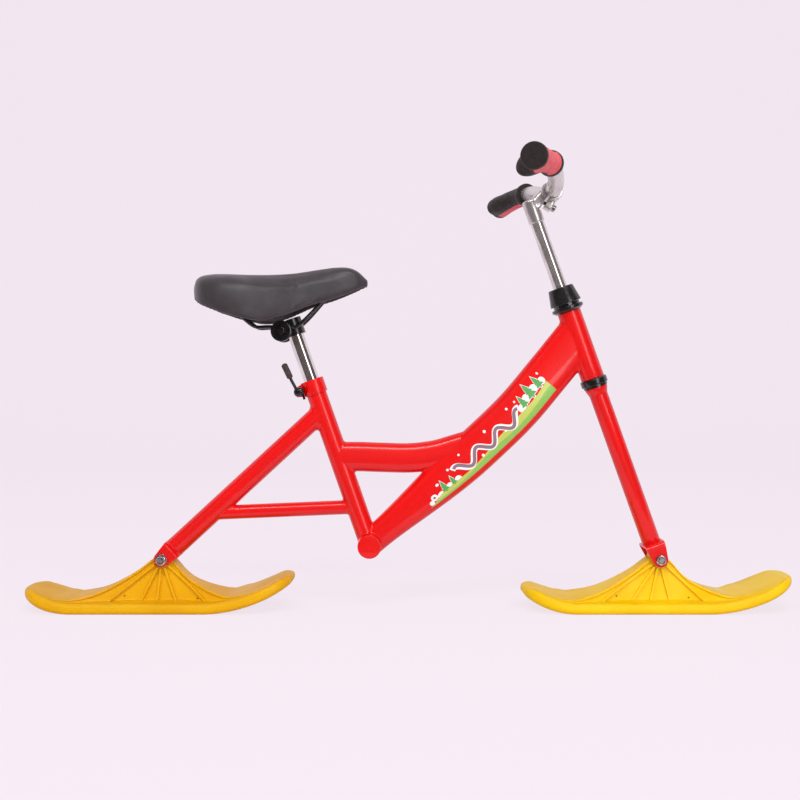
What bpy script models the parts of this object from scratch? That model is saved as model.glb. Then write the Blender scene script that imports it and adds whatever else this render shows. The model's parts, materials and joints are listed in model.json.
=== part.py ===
# A child's snow bike: a small bicycle frame that stands on two moulded skis.
# The frame is a head tube, a large formed down tube, a curved top tube, a seat tube, one rear
# stay and a brace. A straight fork leg turns in the head tube, and both skis pitch on a bolt.
# +X is forward, +Z is up, and the soles of the skis lie on z = 0.

import math

import bmesh
import bpy
from mathutils import Matrix, Vector

# Driving dimensions, in metres and degrees
GAP = 0.0003
WHEELBASE = 0.700
PIN_HEIGHT = 0.071
SKI_REAR = 0.193
SKI_FRONT = 0.186
SKI_HALF_WIDTH = 0.056
SKI_DECK = 0.0145
HEAD_TILT = 19.7
SEAT_TILT = 19.4
STAY_RISE = 42.7
SHELL_X = -0.0545
SHELL_Z = 0.090

REAR_PIN_X = SKI_REAR - (WHEELBASE + SKI_REAR + SKI_FRONT) / 2
FRONT_PIN_X = REAR_PIN_X + WHEELBASE

# Tube radii
HEAD_R = 0.0167
HEAD_BORE = 0.0153
SEAT_TUBE_R = 0.0143
SEAT_TUBE_BORE = 0.0115
SHELL_R = 0.0165
STAY_R = 0.0140
BRACE_R = 0.0100
LEG_R = 0.0130
STEERER_R = 0.0127
STEERER_BORE = 0.0105
QUILL_R = 0.0101
POST_R = 0.0111
BAR_R = 0.0111
TUBE_WALL = 0.0018

# The ski pin: an M8 bolt in a sleeve, between two plates
HEX_FLATS = 0.0130
HEAD_TALL = 0.0052
NUT_TALL = 0.0068
WASHER = 0.0016
WASHER_R = 0.0080
BOLT_R = 0.0040
SLEEVE_R = 0.0060
PLATE = 0.0030
CLEVIS_GAP = 0.0180
CLEVIS_END_R = 0.0105
CLEVIS_REACH = 0.0207
CLEVIS_HALF = 0.0140
BOSS_R = 0.0125
BOSS_HALF = 0.0165

# Along the steering axis, from the front ski pin
HEAD_BASE = 0.2705
HEAD_LENGTH = 0.1000
CROWN = 0.2570
STEM_TOP = 0.5385
CLAMP_FORWARD = 0.0330
CLAMP_UP = 0.5390

# Along the seat tube, from the middle of the bottom shell
COLLAR_TOP = 0.2470
COLLAR_HEIGHT = 0.0205
SKEWER_BACK = 0.0215
SKEWER_UP = COLLAR_TOP - COLLAR_HEIGHT / 2
SKEWER_R = 0.0025
EAR_HALF = 0.0080
SLOT_HALF = 0.0012
LEVER_SIDE = 0.0160
DRUM_R = 0.0062
DRUM_HALF = 0.0075
POST_TOP = 0.3370
POST_LENGTH = 0.2200
SADDLE_BOLT_BACK = 0.0163
SADDLE_BOLT_UP = 0.3255

SIDES = 24
SMALL_SIDES = 14
CLEAR = 0.02


def tilted(x, z, degrees):
    """A frame at (x, 0, z) whose Z leans back by that many degrees from upright."""
    return Matrix.Translation((x, 0, z)) @ Matrix.Rotation(math.radians(-degrees), 4, "Y")


STEER = tilted(FRONT_PIN_X, PIN_HEIGHT, HEAD_TILT)
SEAT = tilted(SHELL_X, SHELL_Z, SEAT_TILT)
STAY = tilted(REAR_PIN_X, PIN_HEIGHT, STAY_RISE - 90)
REAR_PIN = Matrix.Translation((REAR_PIN_X, 0, PIN_HEIGHT))
FRONT_PIN = Matrix.Translation((FRONT_PIN_X, 0, PIN_HEIGHT))
ACROSS = Matrix.Rotation(math.radians(-90), 4, "X")


# Scene, collections and materials

def clear_scene():
    for item in list(bpy.data.objects):
        bpy.data.objects.remove(item, do_unlink=True)


def new_collection(name):
    made = bpy.data.collections.new(name)
    bpy.context.scene.collection.children.link(made)
    return made


def make_material(name, color, roughness, metallic=0.0):
    made = bpy.data.materials.new(name)
    made.use_nodes = True
    shader = made.node_tree.nodes["Principled BSDF"]
    shader.inputs["Base Color"].default_value = (*color, 1.0)
    shader.inputs["Roughness"].default_value = roughness
    shader.inputs["Metallic"].default_value = metallic
    made.diffuse_color = (*color, 1.0)
    return made


clear_scene()
PARTS = new_collection("snow_bike")
CUTTERS = new_collection("cutters")
RED = make_material("red_powder_coat", (0.80, 0.012, 0.012), 0.22)
YELLOW = make_material("yellow_polypropylene", (0.92, 0.46, 0.006), 0.38)
CHROME = make_material("chrome_plate", (0.80, 0.79, 0.79), 0.08, 1.0)
SILVER = make_material("satin_aluminium", (0.66, 0.62, 0.62), 0.32, 1.0)
ZINC = make_material("zinc_plate", (0.62, 0.62, 0.64), 0.35, 1.0)
BLACK_STEEL = make_material("black_steel", (0.012, 0.012, 0.013), 0.30)
BLACK_PLASTIC = make_material("black_plastic", (0.015, 0.014, 0.014), 0.28)
RUBBER = make_material("grip_rubber", (0.035, 0.026, 0.025), 0.60)
VINYL = make_material("saddle_vinyl", (0.030, 0.026, 0.028), 0.45)


# Shape helpers

def place(name, mesh, matrix, material, collection=None):
    """Puts a mesh in the scene as an object, at the given frame."""
    made = bpy.data.objects.new(name, mesh)
    (collection or PARTS).objects.link(made)
    made.matrix_world = matrix
    if material:
        mesh.materials.append(material)
    return made


def smooth(mesh, degrees=35):
    mesh.shade_smooth()
    mesh.set_sharp_from_angle(angle=math.radians(degrees))


def mesh_from(bm, name):
    bmesh.ops.recalc_face_normals(bm, faces=bm.faces)
    mesh = bpy.data.meshes.new(name)
    bm.to_mesh(mesh)
    bm.free()
    smooth(mesh)
    return mesh


def rod(name, radius, low, high, matrix, material=None, sides=SIDES, top_radius=None):
    """A cylinder, or a cone, along the frame's Z from low to high."""
    bm = bmesh.new()
    bmesh.ops.create_cone(
        bm, cap_ends=True, segments=sides, radius1=radius,
        radius2=radius if top_radius is None else top_radius, depth=high - low)
    bmesh.ops.translate(bm, verts=bm.verts, vec=(0, 0, (high + low) / 2))
    return place(name, mesh_from(bm, name), matrix, material)


def block(name, low, high, matrix, material=None):
    """A box between two corners of the frame."""
    bm = bmesh.new()
    bmesh.ops.create_cube(bm, size=1)
    low, high = Vector(low), Vector(high)
    bmesh.ops.scale(bm, verts=bm.verts, vec=high - low)
    bmesh.ops.translate(bm, verts=bm.verts, vec=(high + low) / 2)
    return place(name, mesh_from(bm, name), matrix, material)


def turned(name, profile, matrix, material=None, sides=SIDES):
    """A ring turned about the frame's Z from a closed profile of (radius, height)."""
    bm = bmesh.new()
    corners = [bm.verts.new((radius, 0, height)) for radius, height in profile]
    for first, second in zip(corners, corners[1:] + corners[:1]):
        bm.edges.new((first, second))
    mesh = bpy.data.meshes.new(name)
    bm.to_mesh(mesh)
    bm.free()
    made = place(name, mesh, matrix, material)
    screw = made.modifiers.new("turn", "SCREW")
    screw.axis = "Z"
    screw.steps = screw.render_steps = sides
    screw.use_merge_vertices = True
    screw.merge_threshold = 0.00001
    return made


def ring(name, bore, radius, low, high, matrix, material, sides=SIDES):
    profile = ((radius, high), (radius, low), (bore, low), (bore, high))
    return turned(name, profile, matrix, material, sides)


def hexagon(name, flats, low, high, matrix, material):
    """A hexagonal prism, by its size across the flats."""
    return rod(name, flats / math.sqrt(3), low, high, matrix, material, sides=6)


def as_mesh(item):
    """Replaces a curve, or an object with modifiers, by the mesh that it makes."""
    bpy.context.view_layer.update()
    graph = bpy.context.evaluated_depsgraph_get()
    mesh = bpy.data.meshes.new_from_object(item.evaluated_get(graph))
    bm = bmesh.new()
    bm.from_mesh(mesh)
    bmesh.ops.remove_doubles(bm, verts=bm.verts, dist=0.000002)
    bm.to_mesh(mesh)
    bm.free()
    name, matrix, home = item.name, item.matrix_world.copy(), item.users_collection[0]
    bpy.data.objects.remove(item, do_unlink=True)
    made = bpy.data.objects.new(name, mesh)
    home.objects.link(made)
    made.matrix_world = matrix
    smooth(mesh)
    return made


def prism(name, outline, half, matrix, material=None):
    """A flat outline of (x, z) points in the frame, thickened to both sides along Y."""
    data = bpy.data.curves.new(name, "CURVE")
    data.dimensions = "2D"
    data.fill_mode = "BOTH"
    data.extrude = half
    line = data.splines.new("POLY")
    line.points.add(len(outline) - 1)
    for point, (x, z) in zip(line.points, outline):
        point.co = (x, z, 0, 1)
    line.use_cyclic_u = True
    upright = matrix @ Matrix.Rotation(math.radians(90), 4, "X")
    return as_mesh(place(name, data, upright, material))


def smooth_path(points, spacing):
    """Points on one smooth curve that passes through the given ones."""
    points = [Vector(p) for p in points]
    ends = [2 * points[0] - points[1]] + points + [2 * points[-1] - points[-2]]
    found = []
    for before, start, end, after in zip(ends, ends[1:], ends[2:], ends[3:]):
        count = max(1, round((end - start).length / spacing))
        for step in range(count):
            t = step / count
            found.append(0.5 * (2 * start + (end - before) * t
                                + (2 * before - 5 * start + 4 * end - after) * t ** 2
                                + (3 * start - before - 3 * end + after) * t ** 3))
    return found + [points[-1]]


def wire(name, points, radius, matrix, material=None, resolution=4, closed=True):
    """A round wire or tube along the points, with its ends closed or open."""
    data = bpy.data.curves.new(name, "CURVE")
    data.dimensions = "3D"
    data.bevel_depth = radius
    data.bevel_resolution = resolution
    data.use_fill_caps = closed
    line = data.splines.new("POLY")
    line.points.add(len(points) - 1)
    for point, (x, y, z) in zip(line.points, points):
        point.co = (x, y, z, 1)
    return as_mesh(place(name, data, matrix, material))


def hollow(item, wall):
    """Gives an open skin a wall, inwards."""
    solid = item.modifiers.new("wall", "SOLIDIFY")
    solid.thickness = wall
    solid.offset = -1
    solid.use_even_offset = True
    return item


def boolean(item, other, operation):
    step = item.modifiers.new(other.name, "BOOLEAN")
    step.operation = operation
    step.solver = "EXACT"
    step.object = other
    other.hide_render = True
    other.display_type = "WIRE"
    for home in list(other.users_collection):
        home.objects.unlink(other)
    CUTTERS.objects.link(other)
    return item


def cut(item, *others):
    for other in others:
        boolean(item, other, "DIFFERENCE")
    return item


def join(item, *others):
    for other in others:
        boolean(item, other, "UNION")
    return item


def loft(name, sections, matrix, material, closed=True):
    """A skin over sections with the same number of points, capped at both ends."""
    bm = bmesh.new()
    rows = [[bm.verts.new(point) for point in section] for section in sections]
    count = len(rows[0])
    for lower, upper in zip(rows, rows[1:]):
        for k in range(count):
            after = (k + 1) % count
            bm.faces.new((lower[k], lower[after], upper[after], upper[k]))
    if closed:
        bm.faces.new(rows[0])
        bm.faces.new(rows[-1])
    return place(name, mesh_from(bm, name), matrix, material)


def ramp(value, low, high):
    """0 below low, 1 above high, and a smooth step between."""
    t = min(max((value - low) / (high - low), 0), 1)
    return t * t * (3 - 2 * t)


def along(points, x):
    """The height at x on one smooth curve through (x, z) points in rising x."""
    if x <= points[0][0]:
        return points[0][1]
    for k in range(len(points) - 1):
        (x0, z0), (x1, z1) = points[k], points[k + 1]
        if x > x1:
            continue
        before = points[max(k - 1, 0)]
        after = points[min(k + 2, len(points) - 1)]
        slope0 = (z1 - before[1]) / (x1 - before[0])
        slope1 = (after[1] - z0) / (after[0] - x0)
        t, span = (x - x0) / (x1 - x0), x1 - x0
        return ((2 * t ** 3 - 3 * t ** 2 + 1) * z0 + (t ** 3 - 2 * t ** 2 + t) * span * slope0
                + (3 * t ** 2 - 2 * t ** 3) * z1 + (t ** 3 - t ** 2) * span * slope1)
    return points[-1][1]


# The ski: a thick deck with a rolled rim and turned-up ends, and a ridge that sweeps up to the pin

RIDGE = ((-0.150, 0.0155), (-0.130, 0.0165), (-0.110, 0.0200), (-0.090, 0.0250), (-0.070, 0.0335),
         (-0.050, 0.0445), (-0.032, 0.0560), (-0.018, 0.0670), (-0.008, 0.0730), (0.008, 0.0730),
         (0.017, 0.0670), (0.028, 0.0540), (0.040, 0.0430), (0.055, 0.0345), (0.072, 0.0275),
         (0.090, 0.0225), (0.110, 0.0200), (0.125, 0.0180))
RIDGE_HALF = ((-0.144, 0.0470), (-0.115, 0.0400), (-0.085, 0.0300), (-0.055, 0.0215),
              (-0.030, 0.0165), (0.000, 0.0155), (0.030, 0.0165), (0.050, 0.0210),
              (0.072, 0.0300), (0.098, 0.0400), (0.124, 0.0470))
POCKET_REAR = -0.144
POCKET_FRONT = 0.124
REAR_ROCKER = (0.120, 4.16)
FRONT_ROCKER = (0.060, 2.70)
TIP_ROUND = 0.050
GROOVE = (0.022, 0.030)
GROOVE_DEPTH = 0.0015
RIB_ANGLES = (-52, -24, 0, 24, 48)
RIB_HALF = 0.0012
RIB_PROUD = 0.0010
SHOULDER = 0.0055
INSET = 0.0016
SMALL_HOLE_R = 0.0012
SMALL_HOLES = ((-0.0550, 0.0205), (0.0470, 0.0175))


def sole(x):
    """Height of the sole, which rises as a parabola towards each end."""
    start, rate = FRONT_ROCKER if x > 0 else REAR_ROCKER
    return rate * max(abs(x) - start, 0) ** 2


def plan_half(x):
    """Half the ski's width, rounded in plan at both ends."""
    past = max(x - (SKI_FRONT - TIP_ROUND), -x - (SKI_REAR - TIP_ROUND), 0) / TIP_ROUND
    return SKI_HALF_WIDTH * max(1 - past ** 2.4, 0) ** (1 / 2.4)


def ski_section(x):
    """The outline of the ski across x, as (x, y, z) points from the middle of the sole round.

    The walls of the ridge are set back under a shoulder that runs along the crest."""
    half = max(plan_half(x), 0.014)
    low = sole(x)
    end = min(x + SKI_REAR, SKI_FRONT - x)
    thin = 0.45 + 0.55 * math.sqrt(ramp(end, -0.004, 0.020))
    deck = SKI_DECK * thin * (1 + 0.22 * ramp(-x, 0.115, 0.165))
    top = low + deck
    pocket = ramp(x, POCKET_REAR, POCKET_REAR + 0.020) * ramp(-x, -POCKET_FRONT, -POCKET_FRONT + 0.020)
    crest = max(top + 0.0008, along(RIDGE, x)) if POCKET_REAR < x < POCKET_FRONT else top + 0.0008
    crease = min(along(RIDGE_HALF, x), half - 0.0075) if pocket > 0 else half - 0.0090
    rise = crest - top
    lip = min(rise / 4, 0.0016)
    band, inset = min(rise / 2, SHOULDER), min(rise * 0.3, INSET)
    foot = min(crease + 0.0012 + 0.10 * rise, half - 0.0065) - inset
    depth = GROOVE_DEPTH * ramp(-low, -0.0040, -0.0005)
    inner, outer = (part * half / SKI_HALF_WIDTH for part in GROOVE)
    step = (outer - inner) / 5
    side = (
        (inner, low), (inner + step, low + depth), (outer - step, low + depth), (outer, low),
        (half - 0.0050, low), (half - 0.0012, low + deck * 0.10), (half, low + deck * 0.34),
        (half - 0.0008, low + deck * 0.58), (half - 0.0032, low + deck * 0.84),
        (half - 0.0060, top - 0.0004), (foot, top), (crease - inset, crest - band),
        (crease, crest - band * 0.8), (crease, crest - lip), (crease - lip, crest - lip * 0.2),
        (crease * 0.5, crest + 0.0004))
    right = [Vector((x, y, z - PIN_HEIGHT)) for y, z in side]
    left = [Vector((p.x, -p.y, p.z)) for p in reversed(right)]
    return [Vector((x, 0, low - PIN_HEIGHT))] + right + [Vector((x, 0, crest + 0.0006 - PIN_HEIGHT))] + left


def ski_stations():
    tips = (0.0, 0.0015, 0.004, 0.008, 0.014, 0.022, 0.032)
    rear = [-SKI_REAR + t for t in tips]
    front = [SKI_FRONT - t for t in reversed(tips)]
    middle = [POCKET_REAR + (POCKET_FRONT - POCKET_REAR) * k / 26 for k in range(27)]
    return rear + [POCKET_REAR - 0.006] + middle + [POCKET_FRONT + 0.006, POCKET_FRONT + 0.018] + front


def ski_ribs(name, matrix):
    """The fan of raised ribs: thin blades from the pin, trimmed to stand on the walls."""
    rows = []
    for k in range(15):
        x = -0.098 + 0.186 * k / 14
        top = sole(x) + SKI_DECK
        crest = max(along(RIDGE, x) - SHOULDER * 0.7, top + 0.0010)
        crease = along(RIDGE_HALF, x) + RIB_PROUD
        foot = crease + 0.0012 + 0.10 * (crest - top)
        side = ((foot, top - 0.0030), (foot, top + 0.0002), (crease, crest))
        right = [Vector((x, y, z - PIN_HEIGHT)) for y, z in side]
        rows.append(right + [Vector((p.x, -p.y, p.z)) for p in reversed(right)])
    fan = loft(name, rows, matrix, None)
    blades = None
    for angle in RIB_ANGLES:
        turn = matrix @ Matrix.Rotation(math.radians(angle), 4, "Y")
        blade = block(f"{name}_blade_{angle}", (-RIB_HALF, -SKI_HALF_WIDTH, -0.120),
                      (RIB_HALF, SKI_HALF_WIDTH, -0.012), turn)
        blades = join(blades, blade) if blades else blade
    boolean(fan, blades, "INTERSECT")
    return as_mesh(fan)


def make_ski(name, matrix):
    ski = loft(name, [ski_section(x) for x in ski_stations()], matrix, YELLOW)
    join(ski, rod(name + "_boss", BOSS_R, -BOSS_HALF, BOSS_HALF, matrix @ ACROSS))
    cut(ski, rod(name + "_bore", SLEEVE_R + GAP, -CLEAR, CLEAR, matrix @ ACROSS, sides=SMALL_SIDES))
    join(ski, ski_ribs(name + "_ribs", matrix))
    for x, z in SMALL_HOLES:
        wall = along(RIDGE_HALF, x)
        for sign in (-1, 1):
            low, high = sorted((sign * (wall - 0.0045), sign * (wall + 0.0080)))
            spot = matrix @ Matrix.Translation((x, 0, z - PIN_HEIGHT)) @ ACROSS
            cut(ski, rod(f"{name}_hole_{x}_{sign}", SMALL_HOLE_R, low, high, spot, sides=8))
    return ski


# The clevis: a plate folded to a U, whose two legs carry the ski pin

def clevis_outline():
    """Round below the pin, then straight and widening up to the fold."""
    spread = math.atan2(CLEVIS_HALF - CLEVIS_END_R, CLEVIS_REACH)
    points = []
    for k in range(13):
        angle = math.pi + spread + (math.pi - 2 * spread) * k / 12
        points.append((CLEVIS_END_R * math.cos(angle), CLEVIS_END_R * math.sin(angle)))
    return points + [(CLEVIS_HALF, CLEVIS_REACH), (-CLEVIS_HALF, CLEVIS_REACH)]


def make_clevis(name, matrix):
    outside = CLEVIS_GAP + PLATE
    clevis = prism(name, clevis_outline(), outside, matrix, RED)
    inside = block(name + "_inside", (-CLEAR, -CLEVIS_GAP, -CLEAR),
                   (CLEAR, CLEVIS_GAP, CLEVIS_REACH - PLATE), matrix)
    hole = rod(name + "_hole", BOLT_R + GAP, -0.03, 0.03, matrix @ ACROSS, sides=SMALL_SIDES)
    return cut(clevis, inside, hole)


def make_pin(name, matrix):
    """Sleeve, bolt, two washers and a nut on the ski's axis. The nut is at -Y."""
    axis = matrix @ ACROSS
    outside = CLEVIS_GAP + PLATE
    face = outside + GAP + WASHER + GAP
    reach = CLEVIS_GAP - GAP
    ring(name + "_sleeve", BOLT_R + GAP, SLEEVE_R, -reach, reach, axis, ZINC, SMALL_SIDES)
    for side, sign in (("right", -1), ("left", 1)):
        low, high = sorted((sign * (outside + GAP), sign * (outside + GAP + WASHER)))
        ring(f"{name}_washer_{side}", BOLT_R + GAP, WASHER_R, low, high, axis, ZINC, SMALL_SIDES)
    bolt = hexagon(name + "_bolt", HEX_FLATS, face, face + HEAD_TALL, axis, ZINC)
    end = -face - NUT_TALL - 0.001
    join(bolt, rod(name + "_shank", BOLT_R, end, face + HEAD_TALL / 2, axis, sides=SMALL_SIDES))
    nut = hexagon(name + "_nut", HEX_FLATS, -face - NUT_TALL, -face, axis, ZINC)
    cut(nut, rod(name + "_thread", BOLT_R + GAP, -face - CLEAR, CLEAR - face, axis, sides=SMALL_SIDES))


# The frame

DOWN_TUBE = ((-0.0530, 0.092), (-0.0340, 0.110), (0.0030, 0.142), (0.0430, 0.177), (0.1000, 0.2285),
             (0.1525, 0.279), (0.1970, 0.331), (0.2390, 0.382))
DOWN_TUBE_LOW = 0.0188
DOWN_TUBE_TALL = 0.0307
TOP_TUBE = ((-0.0975, 0.2140), (-0.0690, 0.2143), (-0.0370, 0.2132), (0.0030, 0.2125), (0.0380, 0.2160),
            (0.0680, 0.2240), (0.0980, 0.2330))
TOP_TUBE_HALF = 0.0210
TOP_TUBE_SIDE = 0.0145


def oval(centre, direction, tall, wide, power, count=20):
    """A rounded-box section: tall in the plane of the frame, wide across it."""
    normal = Vector((-direction.z, 0, direction.x)).normalized()
    points = []
    for k in range(count):
        angle = 2 * math.pi * k / count
        c, s = math.cos(angle), math.sin(angle)
        up = math.copysign(abs(s) ** (2 / power), s) * tall
        out = math.copysign(abs(c) ** (2 / power), c) * wide
        points.append(centre + normal * up + Vector((0, out, 0)))
    return points


def longer(path, reach):
    """The same path, carried on straight past both of its ends."""
    before = path[0] + (path[0] - path[1]).normalized() * reach
    after = path[-1] + (path[-1] - path[-2]).normalized() * reach
    return [before] + path + [after]


def down_tube_skin(name, grow, material=None, reach=0.0):
    """Small at the shell, tall and flat-sided further up, and pinched where it meets the head tube."""
    path = smooth_path([(x, 0, z) for x, z in DOWN_TUBE], 0.022)
    path = longer(path, reach) if reach else path
    sections = []
    for k, centre in enumerate(path):
        direction = path[min(k + 1, len(path) - 1)] - path[max(k - 1, 0)]
        tall = DOWN_TUBE_LOW + (DOWN_TUBE_TALL - DOWN_TUBE_LOW) * ramp(centre.x, -0.060, 0.105)
        wide = 0.0135 + 0.0055 * ramp(centre.x, -0.050, 0.060) - 0.0045 * ramp(centre.x, 0.150, 0.222)
        sections.append(oval(centre, direction, tall + grow, wide + grow, 2.5))
    return loft(name, sections, Matrix.Identity(4), material)


def top_tube_skin(name, shrink, material=None, reach=0.0):
    path = smooth_path([(x, 0, z) for x, z in TOP_TUBE], 0.020)
    path = longer(path, reach) if reach else path
    sections = []
    for k, centre in enumerate(path):
        direction = path[min(k + 1, len(path) - 1)] - path[max(k - 1, 0)]
        sections.append(oval(centre, direction, TOP_TUBE_HALF - shrink, TOP_TUBE_SIDE - shrink, 2.2, 20))
    return loft(name, sections, Matrix.Identity(4), material)


def head_block(name):
    return rod(name, HEAD_R + GAP, HEAD_BASE - CLEAR, HEAD_BASE + HEAD_LENGTH + CLEAR, STEER)


def seat_block(name):
    return rod(name, SEAT_TUBE_R + GAP, -0.030, COLLAR_TOP, SEAT)


def shell_block(name):
    return rod(name, SHELL_R + GAP, -0.06, 0.06, SEAT @ ACROSS)


def make_head_tube():
    ring("head_tube", HEAD_BORE, HEAD_R, HEAD_BASE, HEAD_BASE + HEAD_LENGTH, STEER, RED)


def make_down_tube():
    tube = down_tube_skin("down_tube", 0, RED)
    cut(tube, down_tube_skin("down_tube_inside", -TUBE_WALL, reach=0.005))
    cut(tube, head_block("down_tube_head"), seat_block("down_tube_seat"), shell_block("down_tube_shell"))


def make_top_tube():
    tube = top_tube_skin("top_tube", 0, RED)
    cut(tube, top_tube_skin("top_tube_inside", TUBE_WALL, reach=0.005))
    cut(tube, down_tube_skin("top_tube_down", GAP), seat_block("top_tube_seat"))


def make_seat_tube():
    tube = ring("seat_tube", SEAT_TUBE_BORE, SEAT_TUBE_R, 0.0, COLLAR_TOP - 0.001, SEAT, RED)
    low, high = (-0.030, -SLOT_HALF, COLLAR_TOP - 0.034), (0, SLOT_HALF, COLLAR_TOP + CLEAR)
    slot = block("seat_tube_slot", low, high, SEAT)
    cut(tube, shell_block("seat_tube_shell"), slot)


def make_bottom_shell():
    shell = rod("bottom_shell", SHELL_R, -0.031, 0.031, SEAT @ ACROSS, RED)
    bevel = shell.modifiers.new("edge", "BEVEL")
    bevel.width = 0.0012
    bevel.segments = 2
    bevel.limit_method = "ANGLE"


def make_rear_stay():
    stay = ring("rear_stay", STAY_R - TUBE_WALL, STAY_R, CLEVIS_REACH + GAP, 0.325, STAY, RED)
    cut(stay, seat_block("rear_stay_seat"))
    front = block("rear_stay_front", (0, -CLEAR, 0), (0.060, CLEAR, COLLAR_TOP), SEAT)
    cut(stay, front)


def make_brace():
    start, end = Vector((-0.287, 0, 0.134)), Vector((-0.063, 0, 0.1435))
    rise = math.degrees(math.atan2(end.z - start.z, end.x - start.x))
    lying = tilted(start.x, start.z, rise - 90)
    brace = ring("brace_tube", BRACE_R - TUBE_WALL, BRACE_R, 0, (end - start).length, lying, RED, 20)
    cut(brace, rod("brace_stay", STAY_R + GAP, 0, 0.40, STAY), seat_block("brace_seat"))
    rear = block("brace_rear", (0, -CLEAR, 0), (-0.060, CLEAR, 0.40), STAY)
    cut(brace, rear)


# The headset and the fork

def make_headset():
    top = HEAD_BASE + HEAD_LENGTH
    turned("lower_cup", ((0.0192, 0.2690), (0.0192, 0.2612), (0.0186, 0.2605), (0.0176, 0.2605),
                         (0.0176, 0.2650), (0.0142, 0.2650), (0.0142, 0.2770), (0.0150, 0.2770),
                         (0.0150, HEAD_BASE - GAP), (0.0186, HEAD_BASE - GAP)), STEER, BLACK_STEEL)
    ring("lower_bearing", 0.0140, 0.0172, 0.2612, 0.2646, STEER, ZINC)
    ring("crown_race", STEERER_R + GAP, 0.0172, CROWN + GAP, 0.2608, STEER, BLACK_STEEL)
    turned("upper_cup", ((0.0180, top + 0.0080), (0.0215, top + 0.0080), (0.0226, top + 0.0060),
                         (0.0226, top + 0.0035), (0.0190, top + GAP), (0.0150, top + GAP),
                         (0.0150, top - 0.0070), (0.0142, top - 0.0070), (0.0142, top + 0.0030),
                         (0.0180, top + 0.0030)), STEER, BLACK_STEEL)
    ring("upper_bearing", 0.0142, 0.0177, top + 0.0034, top + 0.0066, STEER, ZINC)
    turned("top_race", ((0.0190, top + 0.0120), (0.0190, top + 0.0084), (0.0175, top + 0.0084),
                        (0.0175, top + 0.0070), (STEERER_R + GAP, top + 0.0070),
                        (STEERER_R + GAP, top + 0.0120)), STEER, BLACK_STEEL)
    nut = hexagon("lock_nut", 0.0300, top + 0.0127, top + 0.0205, STEER, ZINC)
    cut(nut, rod("lock_nut_bore", STEERER_R + GAP, top, top + 0.03, STEER))
    turned("headset_cover", ((0.0178, top + 0.0363), (0.0223, top + 0.0130), (0.0223, top + 0.0123),
                             (0.0203, top + 0.0123), (0.0160, top + 0.0345),
                             (QUILL_R + GAP, top + 0.0345), (QUILL_R + GAP, top + 0.0363)),
           STEER, BLACK_PLASTIC)


def make_fork():
    turned("fork_leg", ((0.0160, CROWN), (0.0160, CROWN - 0.0015), (0.0140, CROWN - 0.0055),
                        (LEG_R, CROWN - 0.0110), (LEG_R, CLEVIS_REACH + GAP),
                        (LEG_R - TUBE_WALL, CLEVIS_REACH + GAP), (LEG_R - TUBE_WALL, CROWN)),
           STEER, RED)
    top = HEAD_BASE + HEAD_LENGTH + 0.0215
    ring("steerer_tube", STEERER_BORE, STEERER_R, CROWN + GAP, top, STEER, ZINC)


# The stem

SLEEVE_HEAD_R = 0.0112
PINCH_TURN = 50
PINCH_DOWN = 0.0180
WEDGE_CUT = 0.343
WEDGE_SLANT = 35


def make_stem():
    base = 0.330
    stem = rod("stem", QUILL_R, base, 0.508, STEER, CHROME)
    join(stem, rod("stem_head", SLEEVE_HEAD_R, 0.506, STEM_TOP - 0.0045, STEER))
    join(stem, rod("stem_dome", SLEEVE_HEAD_R, STEM_TOP - 0.0045, STEM_TOP, STEER, top_radius=0.0085))
    arm = ((0.0000, 0.5160), (0.0000, STEM_TOP - 0.0010), (0.0230, CLAMP_UP + 0.0105),
           (CLAMP_FORWARD, CLAMP_UP + 0.0110), (CLAMP_FORWARD, CLAMP_UP - 0.0110))
    join(stem, prism("stem_arm", arm, 0.0100, STEER))
    clamp = STEER @ Matrix.Translation((CLAMP_FORWARD, 0, CLAMP_UP))
    join(stem, rod("stem_clamp", 0.0150, -0.019, 0.019, clamp @ ACROSS))
    down = clamp @ Matrix.Rotation(math.radians(PINCH_TURN), 4, "Y")
    join(stem, block("stem_ears", (-0.0085, -0.0100, -0.0250), (0.0130, 0.0100, -0.0100), down))
    cut(stem, rod("stem_bar_bore", BAR_R + GAP, -0.03, 0.03, clamp @ ACROSS))
    cut(stem, block("stem_split", (-0.0020, -0.03, -0.030), (0.0020, 0.03, -0.006), down))
    cut(stem, rod("stem_pinch_bore", 0.0030 + GAP, -0.0090, 0.03, pinch_axis(), sides=SMALL_SIDES))
    bore = BOLT_R + 2 * GAP
    cut(stem, rod("stem_bolt_bore", bore, base - CLEAR, STEM_TOP + CLEAR, STEER, sides=SMALL_SIDES))
    cut(stem, rod("stem_socket", 0.0066, STEM_TOP - 0.0090, STEM_TOP + CLEAR, STEER, sides=20))
    cut(stem, block("stem_slant", (-CLEAR, -CLEAR, -0.040), (CLEAR, CLEAR, 0.0), wedge_plane()))


def pinch_axis():
    """Fore and aft through the clamp's two ears."""
    clamp = STEER @ Matrix.Translation((CLAMP_FORWARD, 0, CLAMP_UP))
    down = clamp @ Matrix.Rotation(math.radians(PINCH_TURN), 4, "Y")
    ear = down @ Matrix.Translation((0, 0, -PINCH_DOWN))
    return ear @ Matrix.Rotation(math.radians(90), 4, "Y")


def wedge_plane(offset=0.0):
    slant = Matrix.Rotation(math.radians(WEDGE_SLANT), 4, "Y")
    return STEER @ Matrix.Translation((0, 0, WEDGE_CUT + offset)) @ slant


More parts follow.
